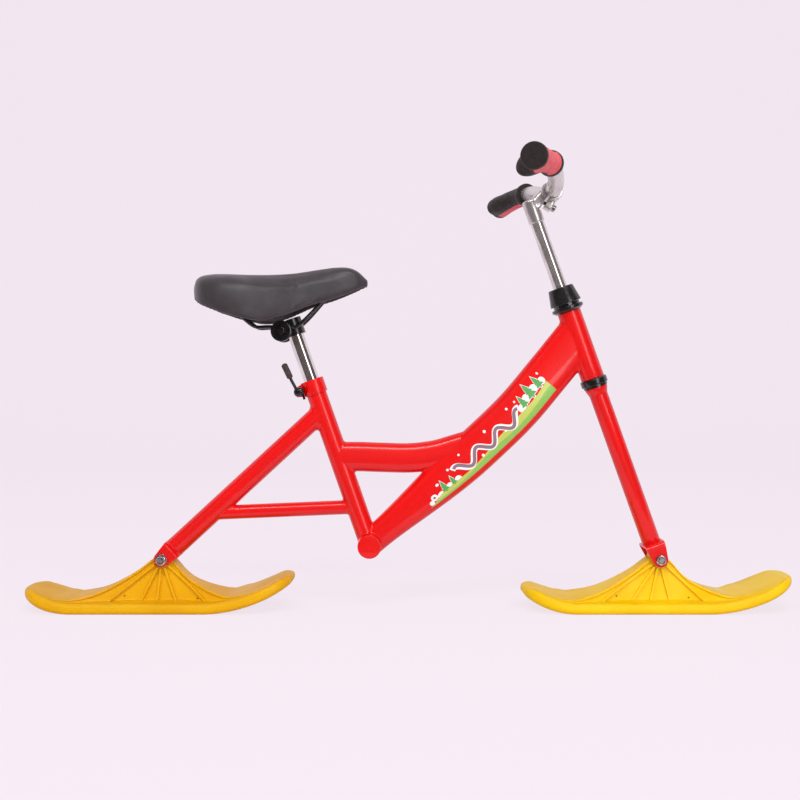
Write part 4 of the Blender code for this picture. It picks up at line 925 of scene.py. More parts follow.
def ski_side(x):
    """The right half of the ski's outline across x, as (y, z) from the middle of the sole outwards."""
    half, base = ski_half(x), sole(x)
    end = min(x + SKI_REAR, SKI_FRONT - x)
    swell = 1 + 0.22 * ease(-x, 0.115, 0.165) + 0.10 * ease(x, 0.080, 0.130)
    full = SKI_DECK * (0.62 + 0.38 * ease(end, 0, 0.020)) * swell
    nose = math.sqrt(max(1 - max(1 - end / NOSE, 0) ** 2, 0.003))
    low, top = base + full * 0.42 * (1 - nose), base + full * (0.42 + 0.58 * nose)
    pocket = POCKET_REAR < x < POCKET_FRONT
    lip = 0.0008 + 0.0018 * ease(x - POCKET_REAR, 0, 0.012) * ease(POCKET_FRONT - x, 0, 0.012)
    crest = max(top + lip, through(RIDGE, x)) if pocket else top + 0.0008 * nose
    crease = min(through(RIDGE_HALF, x), half - 0.0075) if pocket else half - min(0.0090, half * 0.5)
    rise = crest - top
    band, inset = min(rise / 2, SHOULDER), min(rise * 0.3, INSET)
    foot = min(crease + 0.0012 + 0.10 * rise, half - min(0.0065, half * 0.4)) - inset
    depth = 0.0015 * ease(-base, -0.0040, -0.0005)
    inner, outer = 0.022 * half / SKI_HALF, 0.030 * half / SKI_HALF
    roll = min(0.0060, half * 0.45)
    sweep = [math.radians(-90 + 15 * k) for k in range(13)]
    middle = low + (top - low) * 0.40
    edge = [(half - roll + roll * math.cos(angle),
             middle + math.sin(angle) * (top - middle if angle > 0 else middle - low)) for angle in sweep]
    hollow = min(0.0030, rise * 0.35)
    fold = min(0.0026, band * 0.5, crease * 0.4)
    under, out = (crease - inset, crest - band), (crease, crest - band * 0.8)
    wall_low = (foot + (under[0] - foot) * hollow / rise, top + hollow)
    groove_in = corner((inner, low), (inner + 0.0015, low + depth), (inner + 0.0030, low + depth), 4)
    groove_out = corner((outer - 0.0030, low + depth), (outer - 0.0015, low + depth), (outer, low), 4)
    return (groove_in + groove_out + edge + between((half - roll, top), (foot + hollow, top), 2)
            + corner((min(foot + hollow, half - roll), top), (foot, top), wall_low)
            + between(wall_low, under, 4) + corner(under, (out[0], out[1] - inset * 0.2), out, 3)
            + corner((crease, crest - fold), (crease, crest), (crease - fold, crest + 0.0001))
            + between((crease - fold, crest + 0.0001), (0, crest + 0.0006), 4))


def ski_row(x):
    right = [(x, y, z - PIN_HEIGHT) for y, z in ski_side(x)]
    left = [(x, -y, z) for x, y, z in reversed(right)]
    base, crown = right[0][2], right[-1][2] + 0.0001
    return [(x, 0, base)] + right + [(x, 0, crown)] + left


def ski_stations():
    tip = [0.00004, 0.0003, 0.0009, 0.0018, 0.0032, 0.0052, 0.0078, 0.0110, 0.0150, 0.0200]
    long = SKI_FRONT + SKI_REAR - 2 * tip[-1]
    middle = [-SKI_REAR + tip[-1] + long * k / 130 for k in range(1, 130)]
    return [t - SKI_REAR for t in tip] + middle + [SKI_FRONT - t for t in reversed(tip)]


# %% [markdown]
# Five thin ribs fan out from the pin over each wall of the ridge. A rib is a blade that stands on
# the wall: blades are crossed with a second, slightly wider ridge, so what is left of each follows
# the wall, proud of the shoulder above it by a millimetre and a half, and they are joined to the
# ski. Then the ski is bored for the pin's sleeve, and drilled for the four small holes.

# %% Ribs, boss and skis
RIB_ANGLES = {"rear_ski": (52, 26, 5, -20, -48), "front_ski": (56, 35, 14, -13, -47)}
RIB_HALF, RIB_PROUD = 0.0015, 0.0015
BOSS_R, BOSS_HALF, SLEEVE_R = 0.0108, 0.0165, 0.0060
SMALL_HOLES = {"rear_ski": ((-0.0512, 0.0205), (0.0512, 0.0170)),
               "front_ski": ((-0.0620, 0.0205), (0.0400, 0.0175))}
SMALL_HOLE_R = 0.0012


def box(name, low, high, place):
    """A cutter: a cube primitive at its size and place."""
    low, high = Vector(low), Vector(high)
    bpy.ops.object.select_all(action="DESELECT")
    bpy.ops.mesh.primitive_cube_add(size=1)
    made = bpy.context.object
    made.name = made.data.name = name
    size = Matrix.Diagonal((*(high - low), 1))
    made.data.transform(place @ Matrix.Translation((high + low) / 2) @ size)
    return made


def make_ribs(pin, angles):
    """The fan of ribs, as one mesh."""
    rows = []
    for k in range(63):
        x = -0.100 + 0.003 * k
        top = sole(x) + SKI_DECK
        crest = max(through(RIDGE, x) - SHOULDER * 0.7, top + 0.0010)
        crease = through(RIDGE_HALF, x) + RIB_PROUD
        foot = crease + 0.0012 + 0.10 * (crest - top)
        side = [(foot + 0.0020, top - 0.0030)] + corner((foot + 0.0020, top + 0.0003), (foot, top + 0.0004),
                                                        (foot + (crease - foot) * 0.12, top + 0.0030), 4)
        side += [(crease, crest - 0.0014)] + [(crease - 0.0012, crest)]
        right = [(x, y, z - PIN_HEIGHT) for y, z in side]
        rows.append(right + [(x, -y, z) for x, y, z in reversed(right)])
    fan = skin("rib_fan", rows, pin)
    blades = [box("blade", (-RIB_HALF, -SKI_HALF, -0.120), (RIB_HALF, SKI_HALF, -0.0128),
                  pin @ Matrix.Rotation(math.radians(angle), 4, "Y")) for angle in angles]
    cross = blades[0]
    for blade in blades[1:]:
        combine(cross, blade, "UNION")
    return combine(fan, cross, "INTERSECT")


def make_ski(name, place):
    pin = Matrix.Translation(place)
    ski = skin(name + "_fine", [ski_row(x) for x in ski_stations()], pin)
    combine(ski, solid_turned("boss", ((BOSS_R, -BOSS_HALF), (BOSS_R, BOSS_HALF)), pin @ ACROSS), "UNION")
    combine(ski, make_ribs(pin, RIB_ANGLES[name]), "UNION")
    combine(ski, rod("bore", SLEEVE_R + FILM, -0.03, 0.03, pin @ ACROSS, 48), "DIFFERENCE")
    for x, z in SMALL_HOLES[name]:
        for side in (-1, 1):
            wall = through(RIDGE_HALF, x)
            mouth = pin @ Matrix.Translation((x, 0, z - PIN_HEIGHT)) @ ACROSS @ facing(side)
            combine(ski, rod("hole", SMALL_HOLE_R, wall - 0.0045, wall + 0.0060, mouth, 16), "DIFFERENCE")
    finished(ski, YELLOW[name], name, name, degrees=30)


make_ski("rear_ski", REAR_PIN)
make_ski("front_ski", FRONT_PIN)

# %% [markdown]
# The stem is forged. A chromed quill slides in the steerer, a slightly wider sleeve carries the
# arm, and the arm ends in a clamp ring with two ears that a small bolt pulls together. They are
# joined to one mesh and bored afterwards, in the order that a workshop would do it.

# %% Stem
BAR_R = 0.0111
QUILL_R, QUILL_LOW, SLEEVE_HEAD_R, SLEEVE_LOW, STEM_TOP = 0.0101, 0.330, 0.0112, 0.5046, 0.5385
CLAMP_FORWARD, CLAMP_UP, CLAMP_R, CLAMP_HALF = 0.0330, 0.5390, 0.0150, 0.0190
CLAMP = STEER @ Matrix.Translation((CLAMP_FORWARD, 0, CLAMP_UP))
EARS = CLAMP @ Matrix.Rotation(math.radians(50), 4, "Y")
PINCH = EARS @ Matrix.Translation((0, 0, -0.0180)) @ Matrix.Rotation(math.radians(90), 4, "Y")
WEDGE_PLANE = STEER @ Matrix.Translation((0, 0, 0.343)) @ Matrix.Rotation(math.radians(35), 4, "Y")
PINCH_R, SOCKET_R, SOCKET_DEEP = 0.0030, 0.0066, 0.0090
ARM_ROOT, ARM_WIDE, ARM_STEPS = 0.5160, 0.0100, 8


def arm_rows():
    """Rounded-box sections from inside the sleeve to inside the clamp ring."""
    ahead = STEER.to_3x3().col[0]
    rows = []
    for k in range(ARM_STEPS + 1):
        x = CLAMP_FORWARD * k / ARM_STEPS
        low = ARM_ROOT + (CLAMP_UP - ARM_ROOT - 0.0110) * k / ARM_STEPS
        high = min(STEM_TOP - 0.0010 + 0.0120 * x / 0.0230, CLAMP_UP + 0.0110)
        rows.append(oval(place_on(STEER, x, 0, (low + high) / 2), ahead, (high - low) / 2, ARM_WIDE, 3.0, 48))
    return rows


def make_stem():
    outline = [(QUILL_R, QUILL_LOW), (QUILL_R, SLEEVE_LOW), (SLEEVE_HEAD_R - 0.0002, SLEEVE_LOW + 0.0008),
               (SLEEVE_HEAD_R, SLEEVE_LOW + 0.0016)]
    outline += corner((SLEEVE_HEAD_R, STEM_TOP - 0.0045), (SLEEVE_HEAD_R, STEM_TOP - 0.0004),
                      (0.0085, STEM_TOP))
    stem = solid_turned("stem_fine", outline, STEER, ROUND)
    combine(stem, skin("arm", arm_rows()), "UNION")
    half = [(CLAMP_R, CLAMP_HALF - 0.0010), (CLAMP_R - 0.0003, CLAMP_HALF - 0.0003),
            (CLAMP_R - 0.0010, CLAMP_HALF)]
    outline = [(radius, -along) for radius, along in reversed(half)] + half
    combine(stem, solid_turned("ring", outline, CLAMP @ ACROSS, ROUND), "UNION")
    ears = soften(box("ears", (-0.0085, -0.0100, -0.0250), (0.0130, 0.0100, -0.0100), EARS), 0.0030, 4)
    combine(stem, ears, "UNION")
    cutters = [rod("bar_bore", BAR_R + FILM, -0.03, 0.03, CLAMP @ ACROSS, ROUND),
               box("split", (-0.0020, -0.03, -0.030), (0.0020, 0.03, -0.006), EARS),
               rod("pinch_bore", PINCH_R + FILM, -0.0090, 0.03, PINCH),
               rod("socket", SOCKET_R, STEM_TOP - SOCKET_DEEP, 0.6, STEER, 48),
               rod("bolt_bore", BOLT_R + 2 * FILM, 0.30, 0.6, STEER),
               box("slant", (-0.5, -0.5, -0.040), (0.5, 0.5, 0.0), WEDGE_PLANE)]
    for cutter in cutters:
        combine(stem, cutter, "DIFFERENCE")
    soften(stem, 0.0004, 2, 50)
    finished(stem, HAZY_CHROME, "stem", "stem", degrees=40)
    stem.data.materials.append(SATIN)
    home = STEER.inverted()
    for face in stem.data.polygons:
        middle = home @ face.center
        face.material_index = int(middle.x > SLEEVE_HEAD_R + 0.0004 or middle.z > SLEEVE_LOW)


def screw(radius, low, high, pitch=0.0008):
    """The outline of a threaded shank, from low to high."""
    count = round((high - low) / pitch)
    outline = []
    for k in range(count):
        outline += [(radius, low + k * pitch), (radius - 0.0004, low + (k + 0.5) * pitch)]
    return outline + [(radius, high)]


def make_socket_bolt(name, shank, head, key_flats, key_low, place):
    """A bolt with a round head, and a hexagonal hole for its key."""
    bolt = solid_turned(name + "_fine", shank + head, place)
    combine(bolt, hexagon("key", key_flats, key_low, key_low + 0.02, place), "DIFFERENCE")
    finished(bolt, ZINC, "stem", name)


make_stem()
make_socket_bolt("expander_bolt", [(BOLT_R, 0.306), (BOLT_R, STEM_TOP - 0.0087)],
                 [(0.0062, STEM_TOP - 0.0087), (0.0062, STEM_TOP - 0.0015), (0.0055, STEM_TOP - 0.0007)],
                 0.0060, STEM_TOP - 0.0050, STEER)
make_socket_bolt("pinch_bolt", screw(PINCH_R, -0.0085, 0.0133),
                 [(0.0052, 0.0133), (0.0052, 0.0170), (0.0045, 0.0178)], 0.0050, 0.0150, PINCH)

# %% [markdown]
# The handlebar is one aluminium tube, bent up and back. Each grip is a rubber sleeve with a flange
# at its inner end, a flat cap with a moulding hole over the bar's end, and a wing for the palm
# that grows out of its rear side. A softer red panel lies round the front and the underside of
# it, inside a fine groove.

# %% Handlebar
BAR_HALF = 0.2150
BAR_BENDS = ((0, 0, 0), (0, 0.022, 0), (0, 0.036, 0), (-0.0014, 0.062, 0.0055), (-0.0134, 0.115, 0.0162),
             (-0.0330, 0.165, 0.0150), (-0.0510, BAR_HALF, 0.0107))


def bar_path(spacing):
    right = [(x, -y, z) for x, y, z in reversed(BAR_BENDS[1:])]
    return [CLAMP.translation + p for p in smooth_path(right + list(BAR_BENDS), spacing)]


def make_handlebar():
    bar = skin("handlebar_fine", swept_rows(bar_path(0.003), BAR_R, 48, Vector((1, 0, 0))))
    finished(bar, SATIN, "handlebar", "handlebar", degrees=50)


make_handlebar()

# %% Grips
GRIP_LENGTH, GRIP_R, GRIP_CAP = 0.0950, 0.0158, 0.0040
WING_DROP, WING_LEAN = {1: 12, -1: 30}, 6
PANEL_ALONG, PANEL_TURN = (-0.0860, -0.0050), (50, 205)
MOULDING_HOLE_R = 0.0021
GRIP_SIDES = 72


def grip_radius(along, turn):
    """Distance of the skin from the bar's middle line. The turn is in degrees, down from the wing."""
    lobe = 0.0150 * ease(along, -0.072, -0.024) * ease(-along, 0.003, 0.018)
    flange = 0.0016 * (1 - ease(along, -GRIP_LENGTH + 0.006, -GRIP_LENGTH + 0.016))
    cap = 0.0016 * ease(along, -0.030, 0.0) - 0.0012 * ease(along, 0.002, 0.004)
    waist = 0.0008 * ease(-along, 0.030, 0.060) * ease(along, -GRIP_LENGTH, -GRIP_LENGTH + 0.020)
    round_end = 0.0012 * (1 - ease(along, -GRIP_LENGTH, -GRIP_LENGTH + 0.0020))
    seam = 0.0005 if abs(along + 0.0020) < 0.0006 else 0.0
    start, end = PANEL_ALONG
    inside = start - 0.0008 < along < end + 0.0008 and PANEL_TURN[0] <= turn <= PANEL_TURN[1]
    border = min(abs(along - start), abs(along - end)) < 0.0008 or turn in PANEL_TURN
    groove = 0.0005 if inside and border else 0.0
    lean = max(math.cos(math.radians(turn - WING_LEAN)), 0) ** 4
    return GRIP_R + flange + cap + lobe * lean - waist - round_end - seam - groove


def make_grip(word, sign):
    path = [p for p in bar_path(0.0012) if p.y * sign > 0.05]
    path = path if sign > 0 else list(reversed(path))
    end = path[-1]
    outward = Vector(BAR_BENDS[-1]) - Vector(BAR_BENDS[-2])
    out = Vector((outward.x, outward.y * sign, outward.z)).normalized()
    drop = math.radians(WING_DROP[sign])
    wing = Vector((-math.cos(drop), 0, -math.sin(drop)))
    stations = [(p, -(p - end).length) for p in path if (p - end).length < GRIP_LENGTH]
    stations += [(end + out * GRIP_CAP * k / 4, GRIP_CAP * k / 4) for k in range(1, 5)]
    frames = []
    for k, (centre, along) in enumerate(stations):
        ahead = (stations[min(k + 1, len(stations) - 1)][0] - stations[max(k - 1, 0)][0]).normalized()
        across = (wing - ahead * wing.dot(ahead)).normalized()
        frames.append((centre, along, ahead, across, -sign * ahead.cross(across)))
    turns = [360 * step / GRIP_SIDES for step in range(GRIP_SIDES)]

    def row(frame_here, reach):
        centre, along, ahead, across, down = frame_here
        points = []
        for turn in turns:
            angle = math.radians(turn)
            radius = reach(along, turn)
            points.append(centre + across * math.cos(angle) * radius + down * math.sin(angle) * radius)
        return points

    rows = [row(here, grip_radius) for here in frames]
    face = frames[-1]
    rows += [row(face, lambda along, turn, part=part: grip_radius(along, turn) * part)
             for part in (0.95, 0.6, 0.3)]
    inner_face = (end + out * FILM, *face[1:])
    rows += [row(here, lambda along, turn: MOULDING_HOLE_R) for here in (face, inner_face)]
    rows += [row(here, lambda along, turn: BAR_R + FILM) for here in (inner_face, *reversed(frames[:-4]))]
    grip = skin(f"grip_{word}_fine", rows, looped=True)
    finished(grip, RUBBER, "handlebar", f"grip_{word}", degrees=50)
    # The panel's faces take the red rubber that is lightened as a painted highlight.
    grip.data.materials.append(PANEL_WITH_PAINTED_HIGHLIGHT)
    for face in grip.data.polygons:
        centre, along, ahead, across, down = min(frames, key=lambda here: (here[0] - face.center).length)
        spoke = face.center - centre
        turn = math.degrees(math.atan2(spoke.dot(down), spoke.dot(across))) % 360
        inside = PANEL_ALONG[0] < along + spoke.dot(ahead) < PANEL_ALONG[1] and spoke.length > GRIP_R * 0.9
        face.material_index = int(inside and PANEL_TURN[0] < turn < PANEL_TURN[1])


make_grip("right", -1)
make_grip("left", 1)

# %% [markdown]
# The seat post slides in the seat tube and is held by a collar. The collar is split at the back
# between two ears, and a skewer runs through them from a nut on the far side to a cam lever on the
# near side. The cam drum sits in the hollow face of a small steel seat. Its arm carries a rubber
# sleeve for the finger, with a notch at the lower end.

# %% Seat collar and quick release
COLLAR_OUT, EAR_HALF, SLOT_HALF = SEAT_R + 0.0022, 0.0080, 0.0012
SKEWER_R, DRUM_R, DRUM_HALF = 0.0025, 0.0062, 0.0075
LEVER = Matrix.Translation(Vector(JOINTS["quick_release_lever"]["pos_m"])) @ SEAT.to_3x3().to_4x4()
SKEWER = LEVER @ Matrix.Translation((0, -LEVER.translation.y, 0))


def prism(name, outline, half, place):
    """An outline of (x, z) points, drawn out across the frame to both sides."""
    return skin(name, [[(x, y, z) for x, z in outline] for y in (-half, half)], place)


def make_collar():
    low = COLLAR_TOP - COLLAR_HEIGHT
    collar = turned("seat_collar_fine", ring_outline(SEAT_R + FILM, COLLAR_OUT, low, COLLAR_TOP), SEAT)
    ears = prism("ears", ((-0.0155, low + 0.001), (-0.0270, low + 0.004), (-0.0270, COLLAR_TOP - 0.004),
                          (-0.0155, COLLAR_TOP - 0.001)), EAR_HALF, SEAT)
    combine(collar, ears, "UNION")
    slot = box("slot", (-0.040, -SLOT_HALF, low - 0.01), (-0.010, SLOT_HALF, COLLAR_TOP + 0.01), SEAT)
    combine(collar, slot, "DIFFERENCE")
    combine(collar, rod("hole", SKEWER_R + FILM, -0.03, 0.03, SKEWER @ ACROSS), "DIFFERENCE")
    soften(collar, 0.0006, 3, 40)
    finished(collar, RED, "frame", "seat_collar")


def make_skewer_ends():
    nut = turned("skewer_nut_fine", ((SKEWER_R + FILM, EAR_HALF + FILM), (0.0066, EAR_HALF + FILM),
                                     (0.0070, EAR_HALF + 0.0008), (0.0070, 0.0120), (0.0064, 0.0143),
                                     (0.0050, 0.0155), (SKEWER_R + FILM, 0.0155)), SKEWER @ ACROSS, 48)
    finished(nut, BLACK, "frame", "skewer_nut")
    face = -EAR_HALF - FILM
    seat = box("lever_seat_fine", (-0.0060, face - 0.0036, -0.0058), (0.0060, face, 0.0058), SKEWER)
    soften(seat, 0.0012)
    tail = box("tail", (0.0018, face - 0.0029, -0.0125), (0.0052, face - 0.0005, -0.0040), SKEWER)
    combine(seat, soften(tail, 0.0005), "UNION")
    combine(seat, rod("hollow", DRUM_R + FILM, -0.03, 0.03, LEVER @ ALONG, ROUND), "DIFFERENCE")
    combine(seat, rod("bore", SKEWER_R + FILM, -0.03, 0.03, SKEWER @ ACROSS), "DIFFERENCE")
    finished(seat, BLACK, "frame", "lever_seat")


LEVER_ARM = ((-0.002, -0.001, 0.0), (-0.003, -0.003, 0.010), (-0.0045, -0.004, 0.020),
             (-0.0058, -0.004, 0.034))
SLEEVE_LINE = ((-0.0047, -0.004, 0.0215), (-0.0052, -0.004, 0.028), (-0.0070, -0.004, 0.0445))
LEVER_ARM_R, LEVER_SLEEVE_R, ROUND_END = 0.0022, 0.0044, 7


def make_lever():
    outline = [(DRUM_R * (1 - abs(k / 12) ** 2.5) ** 0.4, DRUM_HALF * k / 12) for k in range(-11, 12)]
    outline = [(0.0008, -DRUM_HALF)] + outline + [(0.0008, DRUM_HALF)]
    drum = solid_turned("lever_cam_fine", outline, LEVER @ ALONG)
    combine(drum, skin("arm", swept_rows(smooth_path(LEVER_ARM, 0.001), LEVER_ARM_R, 24), LEVER), "UNION")
    soften(drum, 0.0004, 2, 50)
    finished(drum, BLACK, "quick_release", "lever_cam")
    path = smooth_path(SLEEVE_LINE, 0.0004)
    from_end = [min(k, len(path) - 1 - k, ROUND_END) / ROUND_END for k in range(len(path))]
    radii = [LEVER_SLEEVE_R * math.sqrt(max(1 - (1 - share) ** 2, 0.04)) for share in from_end]
    sleeve = skin("lever_sleeve_fine", swept_rows(path, radii, 32), LEVER)
    combine(sleeve, box("notch", (-0.02, -0.0052, 0.020), (0.02, -0.0028, 0.0262), LEVER), "DIFFERENCE")
    finished(sleeve, LEVER_SLEEVE, "quick_release", "lever_sleeve")


make_collar()
make_skewer_ends()
make_lever()

# %% [markdown]
# The post ends in a steel band whose ears carry one cross bolt. On the bolt, each saddle rail is
# gripped between an inner and an outer toothed disc, so the saddle can be set to any tilt. The
# rails are one bent wire each, with their ends in sockets under the saddle's base.

# %% Seat post, clamp and rails
POST_R, POST_LOW, POST_TOP, POST_WALL = 0.0111, 0.117, 0.337, 0.0018
BAND_R, BAND_LOW, DISC_R = 0.0148, 0.3140, 0.0147
SADDLE = Matrix.Translation(Vector(JOINTS["saddle_tilt"]["pos_m"]))
SADDLE_BOLT_R, RAIL_R, RAIL_SIDE, RAIL_UP = 0.0030, 0.0025, 0.0213, 0.0060
INNER_DISC, OUTER_DISC, SADDLE_NUT = (0.0151, 0.0208), (0.0218, 0.0272), (0.0275, 0.0325)
TEETH = 24


def make_post():
    outline = ((POST_R - POST_WALL, POST_LOW), (POST_R, POST_LOW), (POST_R, POST_TOP - 0.0006),
               (POST_R - 0.0006, POST_TOP), (POST_R - POST_WALL, POST_TOP))
    post = turned("seat_post_fine", outline, SEAT)
    finished(post, CHROME, "seat_post", "seat_post")


def make_band():
    top = POST_TOP + 0.001
    band = rod("clamp_band_fine", BAND_R, BAND_LOW, top, SEAT, ROUND)
    ears = soften(box("ears", (-0.0245, -BAND_R, BAND_LOW), (0, BAND_R, top), SEAT), 0.0030, 4, 60)
    combine(band, ears, "UNION")
    for cutter in (rod("bore", POST_R + FILM, BAND_LOW - 0.01, top + 0.01, SEAT, ROUND),
                   box("slot", (-0.040, -0.0095, BAND_LOW - 0.01), (-0.005, 0.0095, top + 0.01), SEAT),
                   rod("hole", SADDLE_BOLT_R + FILM, -0.03, 0.03, SADDLE @ ACROSS)):
        combine(band, cutter, "DIFFERENCE")
    soften(band, 0.0005, 2, 45)
    finished(band, BLACK, "seat_post", "clamp_band")


def ring_of_teeth(name, inner, outer, low, high, place):
    """Small wedges round an axis, each with its ridge outwards."""
    teeth = []
    half = math.pi * inner / TEETH * 0.8
    for k in range(TEETH):
        turn = place @ Matrix.Rotation(2 * math.pi * k / TEETH, 4, "Z")
        rows = [((r, -half * r / inner, low), (r, half * r / inner, low), (r, 0, high))
                for r in (inner, outer)]
        teeth.append(skin(name, rows, turn))
    return gather(name, teeth)


def make_disc(kind, word, side, span):
    near, far = span
    place = SADDLE @ ACROSS @ facing(side)
    outline = ((SADDLE_BOLT_R + FILM, near), (DISC_R - 0.0006, near), (DISC_R, near + 0.0006),
               (DISC_R, far - 0.0016), (DISC_R - 0.0005, far - 0.0006), (DISC_R - 0.0016, far - 0.0001),
               (0.0118, far), (0.0108, far - 0.0007), (SADDLE_BOLT_R + FILM, far - 0.0007))
    disc = turned(f"{kind}_disc_{word}_fine", outline, place)
    rail_line = SADDLE @ Matrix.Translation((0, side * RAIL_SIDE, RAIL_UP)) @ ALONG
    combine(disc, rod("groove", RAIL_R + FILM, -0.05, 0.05, rail_line, 32), "DIFFERENCE")
    teeth = ring_of_teeth("teeth", 0.0064, 0.0100, far - 0.0009, far + 0.0001, place)
    finished(gather(f"{kind}_disc_{word}_fine", [disc, teeth]), BLACK, "saddle", f"{kind}_disc_{word}")


RAIL_BENDS = ((-0.0622, 0.0345, 0.0282), (-0.0570, 0.0330, 0.0230), (-0.0490, 0.0295, 0.0150),
              (-0.0360, RAIL_SIDE, RAIL_UP), (-0.0180, RAIL_SIDE, RAIL_UP), (0.0165, RAIL_SIDE, RAIL_UP),
              (0.0215, RAIL_SIDE, RAIL_UP), (0.0345, 0.0200, 0.0175), (0.0480, 0.0170, 0.0320),
              (0.0640, 0.0150, 0.0508))


def rail_path(side, spacing):
    return smooth_path([(x, side * y, z) for x, y, z in RAIL_BENDS], spacing)


def make_saddle_clamp():
    axis = SADDLE @ ACROSS
    for word, side in (("right", -1), ("left", 1)):
        make_disc("inner", word, side, INNER_DISC)
        make_disc("outer", word, side, OUTER_DISC)
        nut = hexagon(f"saddle_nut_{word}_fine", 0.0100, *SADDLE_NUT, axis @ facing(side))
        combine(nut, rod("bore", SADDLE_BOLT_R + FILM, -0.05, 0.05, axis), "DIFFERENCE")
        finished(nut, BLACK, "saddle", f"saddle_nut_{word}")
        rail = skin(f"rail_{word}_fine", swept_rows(rail_path(side, 0.0015), RAIL_R, 32), SADDLE)
        finished(rail, BLACK, "saddle", f"rail_{word}", degrees=60)
    bolt = solid_turned("saddle_bolt_fine", screw(SADDLE_BOLT_R, -0.0342, 0.0342), axis, 32)
    finished(bolt, BLACK, "saddle", "saddle_bolt")


make_post()
make_band()
make_saddle_clamp()

# %% [markdown]
# The saddle is a foam pad under tight leathercloth, on a moulded base. The pad starts as a skin
# over cross sections that are a millimetre too small. It is then remeshed finely and blown up as
# cloth with a little pressure inside, which rounds it as foam rounds its cover, while each point
# may move by no more than two millimetres. One subdivision makes it smooth.

# %% Saddle
SADDLE_TOP = ((-0.3010, 0.458), (-0.2960, 0.466), (-0.2850, 0.4705), (-0.2570, 0.471), (-0.2170, 0.470),
              (-0.1670, 0.472), (-0.1170, 0.4795), (-0.0870, 0.483), (-0.0710, 0.478), (-0.0575, 0.466))
SADDLE_SKIRT = ((-0.3010, 0.4350), (-0.2920, 0.4290), (-0.2670, 0.4185), (-0.2370, 0.4095), (-0.2020, 0.4045),
                (-0.1720, 0.413), (-0.1370, 0.4270), (-0.0970, 0.440), (-0.0670, 0.4520), (-0.0575, 0.4555))
SADDLE_HALF = ((-0.3010, 0.022), (-0.2960, 0.040), (-0.2850, 0.056), (-0.2590, 0.069), (-0.2270, 0.069),
               (-0.1920, 0.056), (-0.1570, 0.040), (-0.1220, 0.029), (-0.0920, 0.024), (-0.0710, 0.019),
               (-0.0575, 0.0095))
PAD_SHRINK, PAD_DROP, PAD_VOXEL, PAD_REACH, PAD_PRESSURE, PAD_FRAMES = 0.0010, 0.0012, 0.0022, 0.0020, 4.0, 20
CURVES = (SADDLE_HALF, SADDLE_TOP, SADDLE_SKIRT)


def saddle_stations(count, first=0.0, last=1.0):
    """Places along the saddle, closer together towards its two ends."""
    low, high = SADDLE_TOP[0][0] - PAD_SHRINK, SADDLE_TOP[-1][0] + PAD_SHRINK * 1.5
    steps = [first + (last - first) * k / count for k in range(count + 1)]
    return [low + (high - low) * (0.5 - 0.5 * math.cos(math.pi * step)) for step in steps]


def mirrored(x, side, bottom, crown):
    """A whole section: its right half, given from the bottom up, and the same on the left."""
    right = [(x, y, z) for y, z in side]
    return [(x, 0, bottom)] + right + [(x, 0, crown)] + [(x, -y, z) for x, y, z in reversed(right)]


def pad_section(x):
    """A section of the pad. The hollow under it, for the base, closes towards both ends."""
    half, top, skirt = (through(curve, x) for curve in CURVES)
    inward = min(x - SADDLE_TOP[0][0], SADDLE_TOP[-1][0] - x)
    roof = skirt - PAD_DROP + (min(0.012, (top - skirt) * 0.4) + PAD_DROP) * ease(inward, 0.0010, 0.0060)
    half, top, skirt = half - PAD_SHRINK, top - PAD_SHRINK, skirt - PAD_DROP
    tall = top - skirt
    lip = min(0.0060, half * 0.3)
    bends = [(half - 0.0008, 0, skirt + 0.0006), (half, 0, skirt + tall * 0.14),
             (half * 0.985, 0, skirt + tall * 0.42), (half * 0.90, 0, skirt + tall * 0.74),
             (half * 0.70, 0, skirt + tall * 0.92), (half * 0.38, 0, skirt + tall * 0.985), (0, 0, top)]
    outside = []
    for k in range(6):
        before, start, end, after = (Vector(bends[min(max(k + step, 0), 6)]) for step in (-1, 0, 1, 2))
        outside += [tuple(bend(before, start, end, after, t).xz) for t in (0, 0.25, 0.5, 0.75)]
    under = [(half - lip, roof), (half - lip, min(skirt + 0.0006, roof)), (half - lip * 0.7, skirt),
             (half - lip * 0.35, skirt)]
    return mirrored(x, under + outside, roof, top)


def blow_up(piece):
    """Foam under its cover: cloth with pressure inside, and a limit to how far a point may move."""
    use(piece, "REMESH", mode="VOXEL", voxel_size=PAD_VOXEL)
    start = [vertex.co.copy() for vertex in piece.data.vertices]
    grasp(piece)
    cloth = piece.modifiers.new("cloth", "CLOTH")
    cloth.settings.use_pressure = True
    cloth.settings.uniform_pressure_force = PAD_PRESSURE
    cloth.settings.effector_weights.gravity = 0
    cloth.point_cache.frame_start = 1
    cloth.point_cache.frame_end = PAD_FRAMES
    for frame_number in range(1, PAD_FRAMES + 1):
        bpy.context.scene.frame_set(frame_number)
    bpy.ops.object.modifier_apply(modifier=cloth.name)
    bpy.context.scene.frame_set(1)
    moved = [(vertex.co - old).length for vertex, old in zip(piece.data.vertices, start)]
    for vertex, old, length in zip(piece.data.vertices, start, moved):
        if length > PAD_REACH:
            vertex.co = old + (vertex.co - old) * PAD_REACH / length
    print(f"{piece.name}: moved by up to {1000 * max(moved):.1f} mm before the limit")
    use(piece, "SMOOTH", factor=0.5, iterations=3)
    use(piece, "SUBSURF", levels=1, render_levels=1)


def make_cushion():
    pad = skin("saddle_cushion_fine", [pad_section(x) for x in saddle_stations(70)])
    blow_up(pad)
    finished(pad, VINYL, "saddle", "saddle_cushion", degrees=80)


def base_section(x):
    half, top, skirt = (through(curve, x) for curve in CURVES)
    edge = half - min(0.006, half * 0.3) - 0.0006
    roof = skirt + min(0.012, (top - skirt) * 0.4) - FILM
    side = [(edge * 0.5, roof - 0.0034), (edge - 0.0020, roof - 0.0050), (edge - 0.0006, roof - 0.0048),
            (edge, roof - 0.0042), (edge, roof)]
    return mirrored(x, side, roof - 0.0030, roof)


